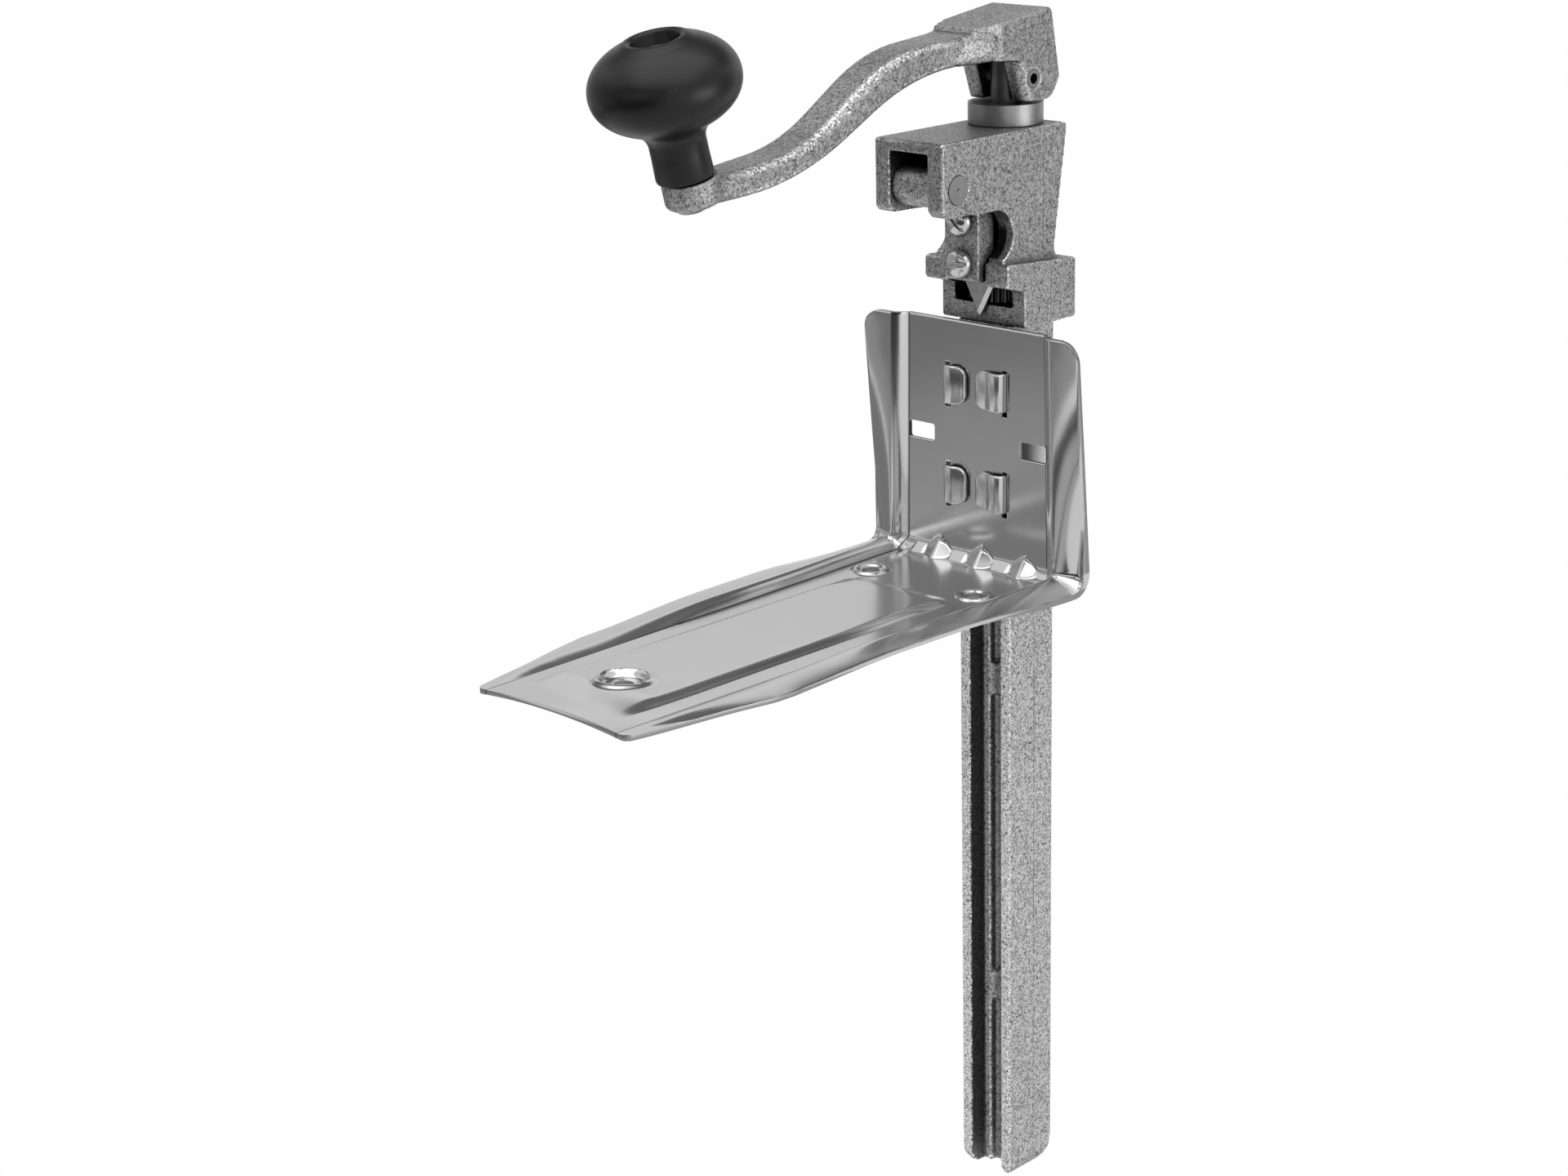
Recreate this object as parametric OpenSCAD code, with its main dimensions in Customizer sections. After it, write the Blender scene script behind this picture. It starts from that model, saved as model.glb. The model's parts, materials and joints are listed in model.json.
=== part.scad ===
// Bench-mounted can opener: a cast column that slides in a pressed bracket.
// Millimetres. Z = 0 is the table top, the origin lies between the two rear
// screw holes. The tongue, the knife and the crank point to -Y.

/* [Column casting] */
// Width of the column bar
bar_w = 22.8; // [21:0.2:26]
// Depth of the column bar
bar_d = 24; // [22:0.5:27]
// Length of the bar below the table top
bar_below = 238; // [180:2:300]
// Width of the groove in the bar's front face
groove_w = 14; // [11:0.5:15]
// Depth of the groove
groove_d = 8; // [5:0.5:9]
// Width of the deeper strip along the groove's floor
strip_w = 8.4; // [6:0.2:9.6]
// Extra depth of that strip
strip_d = 3; // [1.5:0.5:4]
// Width of the block that holds the feed gear
block_w = 36.8; // [34:0.2:40]
// How far the block stands out behind the bar
block_back = 4.9; // [3:0.1:7]
// Height of the block's lower tier
tier_h = 12.8; // [12:0.1:16]
// Overhang of the two ears in front of the bar
ear_reach = 8.9; // [7:0.1:11]
// Height of the ears at their front
ear_h = 8.4; // [7:0.1:11]
// Gap between the ears
ear_gap = 16.6; // [16:0.2:20]
// Width of the head and of its neck
head_w = 29.8; // [27:0.1:33]
// Wall on each side of the knife slot
cheek_t = 6.5; // [5:0.1:7.5]
// Reach of the head in front of the shaft axis
head_reach = 49.7; // [46:0.1:56]
// Height of the head's side walls
head_h = 24.6; // [22:0.1:28]
// Gap between the ears and the head's side walls
neck_gap = 18.8; // [16:0.2:22]
// Roof over the knife slot
roof_t = 3.8; // [3:0.1:6]

/* [Drive] */
// Diameter of the drive shaft
shaft_d = 10.4; // [9:0.2:12]
// Diameter of the feed gear
gear_d = 25.2; // [23:0.2:26]
// Thickness of the feed gear
gear_t = 4.8; // [4:0.1:6]
// Number of teeth on the feed gear
gear_teeth = 32; // [24:2:40]
// Diameter of the upper bush's collar
collar_d = 25.6; // [22:0.2:28]
// Height of that collar
collar_h = 7; // [6:0.1:11]
// Outer diameter of the bushes' sleeves
sleeve_d = 15; // [14:0.5:18]

/* [Knife] */
// Diameter of the knife holder's barrel
barrel_d = 13.8; // [13:0.1:16]
// Diameter of the pivot pin
pivot_d = 9.6; // [7:0.1:10]
// Distance of the pivot pin behind the head's front
pivot_back = 8.2; // [8:0.1:10]
// Width of the knife holder's leg
leg_w = 14.8; // [12:0.2:16]
// Thickness of the leg
leg_t = 8.2; // [7:0.2:10]
// Thickness of the blade
blade_t = 2; // [1.5:0.1:2.5]
// Width of the blade
blade_w = 13.2; // [10:0.2:14]
// Length of the pointed part of the blade
blade_tip = 13.8; // [11:0.2:15]
// Distance between the two knife screws
knife_screw_pitch = 14.4; // [12:0.2:15]
// Thread diameter of the knife screws
knife_screw_d = 5; // [4:0.5:5]
// Head diameter of the knife screws
knife_head_d = 9.7; // [8:0.1:10.6]

/* [Crank] */
// Distance from the shaft axis to the knob axis at the boss
crank_r = 148.1; // [120:0.1:180]
// Width of the crank's arm
arm_w = 16; // [13:0.5:18]
// Thickness of the crank's arm
arm_t = 8.9; // [7:0.1:11]
// How far the arm drops from the hub's underside to the boss's
crank_drop = 16.2; // [10:0.2:24]
// Width of the crank's hub
hub_w = 25; // [23:0.5:28]
// Width of the fork slot in the hub
fork_gap = 13; // [10.8:0.2:14]
// Diameter of the hollow cross pin
cross_pin_d = 6; // [4:0.5:6]
// Diameter of the boss under the knob
boss_d = 18.4; // [15:0.2:24]
// Height of the boss
boss_h = 8.8; // [6:0.2:14]
// How far the boss's centre lies inward of the knob's axis
boss_shift = 1.7; // [0:0.1:3]
// Outward lean of the knob's axis, in degrees
knob_lean = 14; // [0:0.5:14]

/* [Knob] */
// Diameter of the knob's ball
knob_d = 47.5; // [40:0.5:55]
// Height of the knob's ball
knob_ball_h = 29.8; // [28:0.2:38]
// Overall height of the knob
knob_h = 44.6; // [42:0.2:54]
// Diameter of the knob's neck
neck_d = 18.2; // [17:0.1:22]
// Diameter of the recess in the knob's top
recess_d = 15; // [13:0.5:18]
// Depth of that recess
recess_depth = 5.4; // [3:0.2:6]
// Diameter of the knob's axle
axle_d = 8; // [6:0.5:9]

/* [Bracket] */
// Thickness of the bracket's sheet
sheet_t = 1.5; // [1:0.1:2]
// Distance from the rear screw row to the shaft axis
screw_to_axis = 45; // [42:0.5:55]
// Height of the panel above the table top
panel_h = 87.3; // [80:0.1:100]
// Half width of the panel's flat middle
panel_flat = 31; // [26:0.5:34]
// Half width of the bracket at the panel
panel_half = 47.2; // [44:0.2:52]
// Half width of the tongue's flat middle near the bend
tongue_flat = 33.6; // [28:0.2:36]
// Half width of that flat at the tip
tip_flat = 27; // [24:0.5:32]
// Half width of the tongue
tongue_half = 45; // [42:0.5:50]
// Reach of the tongue in front of the shaft axis
tongue_reach = 215; // [190:1:240]
// Length of the tongue's tapered end
taper_len = 53; // [40:1:70]
// Half width of the tongue's tip
tip_half = 34; // [26:0.5:40]
// Height of the rolled bead along the edges
bead_h = 3.8; // [2:0.1:5]
// Width of the bead's rise
bead_rise = 6.5; // [5:0.1:8]
// Inner radius of the bend between panel and tongue
bend_r = 5; // [4.5:0.5:12]
// Height of the raised pad on the tongue
pad_h = 1.8; // [1:0.1:2.5]
// Half width of the raised pad
pad_half = 19; // [16:0.5:22]
// Distance between the two rear screw holes
screw_pitch = 47.3; // [46:0.1:54]
// Diameter of the screw holes
screw_hole_d = 6.2; // [4:0.1:7]
// Width of their countersinks
countersink_d = 11.8; // [9:0.2:13]
// Distance from the rear screw row to the tip's screw hole
tip_hole_reach = 139; // [120:1:150]
// Size of the two windows in the panel
window = [11.9, 6.1]; // [4:0.1:14]
// Distance between the three gussets in the bend
gusset_pitch = 19.4; // [17:0.2:22]
// How far the middle gusset lies to the right of the centre
gusset_shift = 2.6; // [0:0.2:4]
// Half width of a gusset
gusset_half = 5.8; // [4:0.2:7]
// Reach of a gusset's ridge onto the tongue
gusset_foot = 5; // [4.6:0.1:8]
// Rise of a gusset's ridge up the panel
gusset_rise = 6.6; // [5:0.1:9]

/* [Guide channel] */
// Thickness of the guide's sheet
guide_t = 2; // [1.5:0.1:2.4]
// Height of the guide's lower edge above the table top
guide_low = 8; // [4:0.5:14]
// Height of the guide's legs
guide_h = 70; // [66:0.5:76]
// Length of each clinched tab
tab_len = 13.6; // [10:0.2:15]
// Reach of the left tabs over the panel
tab_reach = 10.2; // [8:0.2:12]
// How much further the flatter right tabs reach
tab_spread = 3; // [0:0.2:3.4]
// Distance between the upper and the lower tabs
tab_pitch = 35.8; // [30:0.2:38]
// Height of the lower slots' lower end
slot_low = 20.4; // [18:0.2:24]
// Length of the slots
slot_len = 16; // [15.6:0.2:18]

/* [Clearances] */
// Clearance of the bar in its guide
slide_gap = 0.4; // [0.3:0.05:0.8]
// Radial clearance of turning fits
run_gap = 0.05; // [0.02:0.01:0.1]
// Gap between faces that pass each other
face_gap = 0.3; // [0.2:0.05:0.5]
// Side clearance of the knife holder
knife_gap = 0.2; // [0.15:0.05:0.6]

/* [Hidden] */
$fn = 64;
eps = 0.01;
// Longer than any side, for the cutting outlines
far = 300;
aluminium = [0.66, 0.66, 0.66];
polished = [0.78, 0.78, 0.79];
steel = [0.6, 0.6, 0.61];
black = [0.06, 0.06, 0.06];

// Heights above the table top
block_z = panel_h - 0.3;
tier_z = block_z + tier_h;
ear_z = tier_z + 2.3;
ear_top = ear_z + ear_h;
head_z = ear_top + neck_gap;
head_top = head_z + head_h;
collar_z = head_top + face_gap;
collar_top = collar_z + collar_h;
hub_gap = 1.7;
hub_z = collar_top + hub_gap;

// Places along Y, measured from the shaft axis
bar_front = -bar_d / 2;
bar_back = bar_d / 2;
block_rear = bar_back + block_back;
ear_front = bar_front - ear_reach;
lip_back = bar_front - slide_gap;
panel_back = lip_back - guide_t;
panel_front = panel_back - sheet_t;
blade_back = bar_front - 1;
leg_back = blade_back - blade_t;
leg_front = leg_back - leg_t;
pivot_y = -head_reach + pivot_back;
pivot_z = head_z + 8.7;

// Gear pocket and gear
pocket_z = block_z + 6.6;
pocket_h = gear_t + 1.2;
pocket_half = gear_d / 2 + face_gap;
gear_z = pocket_z + 0.9;
gear_bore_d = shaft_d - 2;
spigot_depth = 5;

// Guide
guide_in = bar_w / 2 + slide_gap;
guide_out = guide_in + guide_t;
guide_back_in = bar_back + slide_gap;
guide_top = guide_low + guide_h;
stop_half = 8.5;
tab_gap_top = 0.6;

// A point and the arc that rounds it: [x, y, radius]
function unit(v) = v / norm(v);
function turn(a, b) = ((b - a + 540) % 360) - 180;
function corner(a, b, c, r, n = 6) = r <= 0 ? [b] :
    let (u = unit(a - b), v = unit(c - b), half = acos(u * v) / 2,
         p = b + u * r / tan(half), q = b + v * r / tan(half),
         o = b + unit(u + v) * r / sin(half),
         a0 = atan2(p[1] - o[1], p[0] - o[0]), a1 = atan2(q[1] - o[1], q[0] - o[0]))
    [for (k = [0:n]) o + r * [cos(a0 + turn(a0, a1) * k / n), sin(a0 + turn(a0, a1) * k / n)]];
function xy(p) = [p[0], p[1]];
function rounded(path, n = 6) = [for (i = [0:len(path) - 1])
    let (m = len(path))
    each corner(xy(path[(i + m - 1) % m]), xy(path[i]), xy(path[(i + 1) % m]), path[i][2], n)];

// Puts the column's own frame, with Y = 0 on the shaft axis, into the model
module on_axis() translate([0, screw_to_axis, 0]) children();

// Extrudes a side outline, drawn as [Y, Z], across the width
module side_extrude(width) rotate([90, 0, 90]) linear_extrude(width, center = true) children();

// Extrudes a front outline, drawn as [X, Z], from the face y0 backwards
module front_extrude(y0, depth)
    translate([0, y0 + depth, 0]) rotate([90, 0, 0]) linear_extrude(depth) children();

// Rod along X
module cross_rod(d, length) rotate([0, 90, 0]) cylinder(d = d, h = length, center = true);

// ---- Bracket -------------------------------------------------------------

function smooth(t) = let (c = min(1, max(0, t))) c * c * (3 - 2 * c);

tongue_end = panel_front - bend_r;
// Rows along the sheet: [kind, position]; the tongue from its tip, the bend, the panel
tongue_rows = [for (y = [0, 0.06, 0.12, 0.18, 0.24, 0.29, 0.36, 0.5, 0.64, 0.76, 0.82, 0.87, 0.93, 1])
    [0, -tongue_reach - 1 + y * (tongue_end + tongue_reach + 1)]];
bend_rows = [for (a = [15:15:75]) [1, a]];
panel_rows = [for (f = [0, 0.15, 0.4, 0.7, 1])
    [2, sheet_t + bend_r + f * (panel_h + 1 - sheet_t - bend_r)]];
sheet_rows = concat(tongue_rows, bend_rows, panel_rows);

// How far along the sheet a row lies: 0 on the tongue, 1 at the bend's end, 2 at the top
function stage(row) = row[0] == 0 ? 0 : row[0] == 1 ? row[1] / 90
    : 1 + (row[1] - sheet_t - bend_r) / (panel_h - sheet_t - bend_r);
function mix3(a, b, c, s) = s < 1 ? a + (b - a) * s : b + (c - b) * (s - 1);
function flat_half(row) = row[0] == 0
    ? tongue_flat + (tongue_flat - tip_flat) * (row[1] - tongue_end) / (tongue_reach + tongue_end)
    : mix3(tongue_flat, panel_flat + 0.6, panel_flat - 0.6, stage(row));
function sheet_half(row) = let (past_taper = row[1] + tongue_reach - taper_len)
    row[0] > 0 ? mix3(panel_half + 0.8, panel_half + 0.4, panel_half + 0.8, stage(row))
    : past_taper < 0 ? tongue_half + trim + (tongue_half - tip_half) * past_taper / taper_len
    : tongue_half + (panel_half + 0.8 - tongue_half) * past_taper
      / (tongue_reach - taper_len - 30) + trim * smooth(1 - past_taper / 12);
// Extra width along the taper, which the outline cuts off again
trim = 0.8;
// Height of the outer lip against the flat middle
function lip_rise(row) = row[0] == 0
    ? 0.2 + 2.2 * smooth((row[1] + 165) / 60) - 2.9 * smooth((row[1] + 78) / 55)
    : mix3(-0.5, -1.8, 4.9, stage(row));
// Columns across the sheet, as shares of the flat, the rise and the rim
column_marks = [0, 0.3, 0.5, 0.62, 0.8, 1, 1.25, 1.5, 1.75, 2, 2.4, 2.8, 3];
function column_x(row, m) = let (f = flat_half(row), e = sheet_half(row),
                                 rise = min(bead_rise, (e - f) / 2))
    m <= 1 ? m * f : m <= 2 ? f + (m - 1) * rise : f + rise + (m - 2) * (e - f - rise);
function crest(row) = row[0] == 0 ? bead_h * smooth((row[1] + tongue_reach + 1) / 45) : bead_h;
function rim_height(row, m) = m <= 1 ? 0 : m <= 2 ? crest(row) * smooth(m - 1)
    : crest(row) + (lip_rise(row) - crest(row)) * (0.45 * (m - 2) + 0.55 * pow(m - 2, 2));
// The raised pad: round at the bend end, fading out at the tip
pad_start = -tip_hole_reach - screw_to_axis - 20;
pad_end = -60;
function pad_height(row, x) = row[0] != 0 ? 0 : let (
    y = row[1], past = max(0, y - (pad_end - pad_half)),
    across = sqrt(x * x + past * past))
    pad_h * smooth((pad_half + 3 - across) / 5) * smooth((y - pad_start) / 16);
function height_at(row, m) = rim_height(row, m) + pad_height(row, column_x(row, m));
// Point of the sheet at a height h over its inner face
function sheet_point(row, x, h) = row[0] == 0 ? [x, row[1], sheet_t + h]
    : row[0] == 2 ? [x, panel_front - h, row[1]]
    : [x, tongue_end + (bend_r - h) * sin(row[1]),
       sheet_t + bend_r - (bend_r - h) * cos(row[1])];
signed_marks = concat([for (i = [len(column_marks) - 1:-1:1]) -column_marks[i]], column_marks);
function sheet_face(drop) = [for (row = sheet_rows) for (m = signed_marks)
    sheet_point(row, sign(m) * column_x(row, abs(m)), height_at(row, abs(m)) - drop)];

module pressed_sheet() {
    rows = len(sheet_rows);
    cols = len(signed_marks);
    under = rows * cols;
    quads = [for (i = [0:rows - 2]) for (j = [0:cols - 2])
        [i * cols + j, i * cols + j + 1, (i + 1) * cols + j + 1, (i + 1) * cols + j]];
    top = [for (q = quads) each [[q[0], q[2], q[1]], [q[0], q[3], q[2]]]];
    bottom = [for (q = quads) each [[q[0], q[1], q[2]] + under * [1, 1, 1],
                                    [q[0], q[2], q[3]] + under * [1, 1, 1]]];
    rim = concat([for (j = [0:cols - 2]) [j, j + 1]],
                 [for (i = [0:rows - 2]) [(i + 1) * cols - 1, (i + 2) * cols - 1]],
                 [for (j = [cols - 1:-1:1]) [(rows - 1) * cols + j, (rows - 1) * cols + j - 1]],
                 [for (i = [rows - 1:-1:1]) [i * cols, (i - 1) * cols]]);
    sides = [for (e = rim) each [[e[0], e[1], e[1] + under], [e[0], e[1] + under, e[0] + under]]];
    polyhedron(points = concat(sheet_face(0), sheet_face(sheet_t)),
               faces = concat(top, bottom, sides));
}

module tongue_outline() polygon(rounded([
    [-tip_half, -tongue_reach, 3], [tip_half, -tongue_reach, 3],
    [tongue_half, -tongue_reach + taper_len, 25], [panel_half + 4, tongue_end - 10, 0],
    [60, tongue_end - 5, 0], [60, 10, 0], [-60, 10, 0], [-60, tongue_end - 5, 0],
    [-panel_half - 4, tongue_end - 10, 0], [-tongue_half, -tongue_reach + taper_len, 25]]));

module panel_outline() polygon(rounded([
    [-60, -10, 0], [60, -10, 0], [60, 40, 0], [panel_half + 0.6, 42, 0], [panel_half + 0.6, panel_h, 7],
    [-panel_half - 0.6, panel_h, 7], [-panel_half - 0.6, 42, 0], [-60, 40, 0]]));

module screw_hole(x, y, z) translate([x, y, z]) {
    translate([0, 0, -5]) cylinder(d = screw_hole_d, h = 10);
    translate([0, 0, sheet_t - 0.8])
        cylinder(d1 = screw_hole_d, d2 = countersink_d + 0.4, h = 0.9);
}

module panel_slots() for (side = [-1, 1], k = [0, 1])
    translate([side * (guide_out - guide_t / 2), panel_front - 5, slot_low + k * tab_pitch])
        translate([-guide_t / 2 - 0.1, 0, 0]) cube([guide_t + 0.2, 10, slot_len]);

module panel_windows() for (side = [-1, 1])
    translate([side * (panel_flat - window[0] / 2) - window[0] / 2, panel_front - 5,
               (panel_h + slot_low) / 2 - 11.1])
        cube([window[0], 10, window[1]]);

// Three-sided rib across the bend; its back lies inside the sheet
module gusset() {
    middle = [1, 45];
    sunk = 0.3;
    ridge = [[0, panel_front - gusset_foot, sheet_t - sunk],
             [0, panel_front + sunk, sheet_t + gusset_rise]];
    ends = [for (side = [1, -1]) sheet_point(middle, side * gusset_half, -sunk)];
    keel = sheet_point(middle, 0, -0.8 * sheet_t);
    polyhedron(points = concat(ridge, ends, [keel]), faces = [
        [0, 1, 2], [0, 3, 1], [0, 2, 4], [2, 1, 4], [1, 3, 4], [3, 0, 4]]);
}

module support_bracket() color(polished) on_axis() {
    difference() {
        union() {
            intersection() {
                pressed_sheet();
                translate([0, 0, -far]) linear_extrude(2 * far) tongue_outline();
                front_extrude(-far, 2 * far) panel_outline();
            }
            for (k = [-1:1]) translate([gusset_shift + k * gusset_pitch, 0, 0]) gusset();
        }
        for (x = [-1, 1]) screw_hole(x * screw_pitch / 2, -screw_to_axis, 0);
        screw_hole(0, -screw_to_axis - tip_hole_reach, pad_h);
        panel_slots();
        panel_windows();
    }
}

// ---- Guide channel -------------------------------------------------------

// One clinched tab: straight through its slot, bulging, then pressed onto the panel
module guide_tab(reach) {
    tip = guide_out - reach;
    difference() {
        linear_extrude(tab_len) polygon(rounded([
            [guide_in, lip_back, 0], [guide_out, lip_back, 0], [guide_out, panel_front - 1.6, 1.5],
            [guide_out - 1.6, panel_front - 3.4, 1.6], [tip, panel_front - guide_t + 0.1, 0.7],
            [tip, panel_front - eps, 0], [guide_in - 1.5, panel_front - 1.2, 2],
            [guide_in, panel_front - 0.2, 0]]));
        // rounded free corners
        for (k = [0, 1]) translate([tip, panel_front - 6, k * tab_len]) mirror([0, 0, k])
            difference() {
                translate([-1, 0, -1]) cube([5, 7, 5]);
                translate([4, -1, 4]) rotate([-90, 0, 0]) cylinder(r = 4, h = 9);
            }
    }
}

module guide_channel() color(steel) on_axis() {
    lip = guide_in - groove_w / 2 - 1;
    tab_z = [for (k = [0, 1]) slot_low + slot_len - tab_len - tab_gap_top + k * tab_pitch];
    difference() {
        translate([-guide_out, panel_back, guide_low])
            cube([2 * guide_out, guide_back_in + guide_t - panel_back, guide_h]);
        translate([-guide_in, lip_back, guide_low - 1])
            cube([2 * guide_in, guide_back_in - lip_back, guide_h + 2]);
        translate([-guide_in + lip, panel_back - 1, guide_low - 1])
            cube([2 * (guide_in - lip), guide_t + 2, guide_h + 2]);
        // the lips are cut away beside the tabs
        for (side = [-1, 1], z = tab_z)
            translate([side > 0 ? guide_in - lip - 1 : -guide_in - eps, panel_back - 1, z - 1])
                cube([lip + 1 + eps, guide_t + 1, tab_len + 2]);
    }
    // tongue of the web: the block's stop
    translate([-stop_half, guide_back_in, guide_top - 1])
        cube([2 * stop_half, guide_t, block_z - guide_top + 1]);
    for (side = [0, 1], z = tab_z) translate([0, 0, z]) mirror([side, 0, 0])
        guide_tab(tab_reach + (1 - side) * tab_spread);
}

// ---- Column --------------------------------------------------------------

module bar() {
    intersection() {
        side_extrude(bar_w) polygon(rounded([
            [bar_front, tier_z, 0], [bar_back, tier_z, 0],
            [bar_back, -bar_below, 11], [bar_front, -bar_below, 7]]));
        front_extrude(bar_front - 1, bar_d + 2) polygon(rounded([
            [-bar_w / 2, tier_z, 0], [bar_w / 2, tier_z, 0],
            [bar_w / 2, -bar_below, 7], [-bar_w / 2, -bar_below, 7]]));
    }
}

module groove() {
    translate([-groove_w / 2, bar_front - 1, -bar_below - 1])
        cube([groove_w, groove_d + 1, bar_below + block_z - 1]);
    translate([-strip_w / 2, bar_front - 1, -bar_below - 1])
        cube([strip_w, groove_d + strip_d + 1, bar_below + block_z - 3]);
}

// Rounded feed pads left by the casting on the strip's floor
module groove_pads() for (z = [-42, -162])
    translate([0, bar_front + groove_d + strip_d + 0.5, z]) rotate([90, 0, 0]) {
        cylinder(d = strip_w - 1, h = 2.2);
        translate([-(strip_w - 1) / 2, -9, 0]) cube([strip_w - 1, 9, 2.2]);
    }

module block() {
    intersection() {
        side_extrude(block_w) polygon(rounded([
            [bar_front, block_z, 1], [block_rear, block_z, 3],
            [block_rear, ear_top - 3, 2], [ear_front, ear_top - 0.4, 1.5],
            [ear_front, ear_z, 1], [bar_front, tier_z, 0]]));
        linear_extrude(300) polygon(rounded([
            [-block_w / 2, ear_front - 1, 0], [block_w / 2, ear_front - 1, 0],
            [block_w / 2, block_rear, 3], [-block_w / 2, block_rear, 3]]));
    }
}

module head() {
    throat = [-head_reach + 26.9, ear_top + neck_gap / 2 - 0.5];
    intersection() {
        difference() {
            side_extrude(head_w) polygon(rounded([
                [-head_reach, head_z, 3.6], [-head_reach, head_top, 1.5], [14.6, head_top, 2],
                [7.3, ear_top - 2.4, 4.5], [block_rear - 1, ear_top - 3.4, 0],
                [block_rear - 1, tier_z + 2, 0], [-19, tier_z + 2, 0], [-19, throat[1], 0],
                [throat[0], throat[1], 0], [throat[0], head_z - 1, 0]]));
            side_extrude(head_w + 2) translate(throat) circle(r = neck_gap / 2 - 0.3);
        }
        linear_extrude(300) polygon(rounded([
            [-head_w / 2, -head_reach, 1.2], [head_w / 2, -head_reach, 1.2],
            [head_w / 2, 18, 4], [-head_w / 2, 18, 4]]));
    }
}

module column_casting() color(aluminium) on_axis() {
    slot_half = head_w / 2 - cheek_t;
    difference() {
        union() {
            bar();
            block();
            head();
        }
        groove();
        // knife slot in the head and between the ears
        translate([-slot_half, -head_reach - 1, tier_z - 1])
            cube([2 * slot_half, head_reach + 1 + leg_back + blade_t + 1.2,
                  head_top - roof_t - tier_z + 1]);
        translate([-ear_gap / 2, ear_front - 30, tier_z - 1])
            cube([ear_gap, 30 - ear_front + leg_back + blade_t + 1.2, ear_h + 3]);
        // gear pocket, open to the front
        translate([0, 0, pocket_z]) cylinder(r = pocket_half, h = pocket_h);
        translate([-pocket_half, bar_front - 1, pocket_z])
            cube([2 * pocket_half, -bar_front + 1, pocket_h]);
        // bores for the shaft, its bushes and the pivot pin
        translate([0, 0, pocket_z - spigot_depth - 1])
            cylinder(d = sleeve_d, h = spigot_depth + 2);
        translate([0, 0, pocket_z]) cylinder(r = shaft_d / 2 + 0.4, h = 100);
        translate([0, 0, head_top - 22]) cylinder(d = sleeve_d, h = 30);
        translate([0, pivot_y, pivot_z]) cross_rod(pivot_d, head_w + 10);
    }
    groove_pads();
}

module upper_bush() color(steel) on_axis() difference() {
    union() {
        translate([0, 0, collar_z]) cylinder(d = collar_d, h = collar_h);
        translate([0, 0, head_top]) cylinder(d = collar_d - 3, h = 2);
        translate([0, 0, head_top - 22]) cylinder(d = sleeve_d - 0.02, h = 24);
    }
    translate([0, 0, head_top - 30]) cylinder(r = shaft_d / 2 + run_gap, h = 60);
}

module lower_bush() color(steel) on_axis() translate([0, 0, pocket_z - spigot_depth - 1])
    difference() {
        cylinder(d = sleeve_d - 0.02, h = spigot_depth + 1);
        translate([0, 0, 1]) cylinder(r = gear_bore_d / 2 + run_gap, h = spigot_depth + 1);
    }

// ---- Drive ---------------------------------------------------------------

module drive_shaft() color(steel) on_axis() difference() {
    union() {
        translate([0, 0, gear_z + gear_t]) cylinder(d = shaft_d, h = hub_z + 13 - gear_z - gear_t);
        translate([0, 0, pocket_z - spigot_depth + face_gap])
            cylinder(d = gear_bore_d, h = spigot_depth + gear_t + 4);
    }
    translate([0, 0, hub_z + 6.6]) cross_rod(cross_pin_d + 0.04, shaft_d + 2);
}

function tooth_ring(n, r, depth) = [for (i = [0:n - 1]) let (a = 360 / n)
    each [r * [cos(a * (i - 0.16)), sin(a * (i - 0.16))],
          r * [cos(a * (i + 0.16)), sin(a * (i + 0.16))],
          (r - depth) * [cos(a * (i + 0.42)), sin(a * (i + 0.42))],
          (r - depth) * [cos(a * (i + 0.58)), sin(a * (i + 0.58))]]];

module feed_gear() color(steel) on_axis() translate([0, 0, gear_z]) difference() {
    linear_extrude(gear_t) polygon(tooth_ring(gear_teeth, gear_d / 2, 1.3));
    translate([0, 0, -1]) cylinder(d = gear_bore_d + 0.04, h = gear_t + 2);
}

// ---- Knife ---------------------------------------------------------------

leg_z = ear_z + 1;
knife_screw_z = [leg_z + 6.1, leg_z + 6.1 + knife_screw_pitch];

module knife_holder() color(aluminium) on_axis() {
    barrel_len = head_w - 2 * cheek_t - 2 * knife_gap;
    difference() {
        union() {
            translate([0, pivot_y, pivot_z]) cross_rod(barrel_d, barrel_len);
            side_extrude(leg_w) polygon(rounded([
                [leg_front, leg_z, 1.2], [leg_back, leg_z, 0.4],
                [leg_back, pivot_z - 2, 4], [leg_front - 2, pivot_z + barrel_d / 2 - 0.5, 6],
                [pivot_y, pivot_z + barrel_d / 2, 0], [pivot_y, pivot_z - barrel_d / 2, 0],
                [leg_front, pivot_z - barrel_d / 2 - 0.6, 1.2]]));
        }
        translate([0, pivot_y, pivot_z]) cross_rod(pivot_d + 2 * run_gap, barrel_len + 2);
        for (z = knife_screw_z) translate([0, leg_front - 1, z]) rotate([-90, 0, 0])
            cylinder(d = knife_screw_d + 0.1, h = leg_t + 2);
    }
}

module knife_blade() color(polished) on_axis() difference() {
    front_extrude(leg_back, blade_t) polygon([
        [0, leg_z - blade_tip], [blade_w / 2, leg_z - 2], [blade_w / 2, knife_screw_z[1] + 5],
        [-blade_w / 2, knife_screw_z[1] + 5], [-blade_w / 2, leg_z - 2]]);
    // ground bevels on both edges of the point
    for (side = [0, 1]) mirror([side, 0, 0]) translate([0, leg_back, leg_z - blade_tip])
        rotate([0, atan((blade_w / 2) / (blade_tip - 2)), 0]) rotate([0, 0, 35])
            translate([0, -5, -5]) cube([5, 5, 30]);
    for (z = knife_screw_z) translate([0, leg_back - 1, z]) rotate([-90, 0, 0])
        cylinder(d = knife_screw_d + 0.04, h = blade_t + 2);
}

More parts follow.
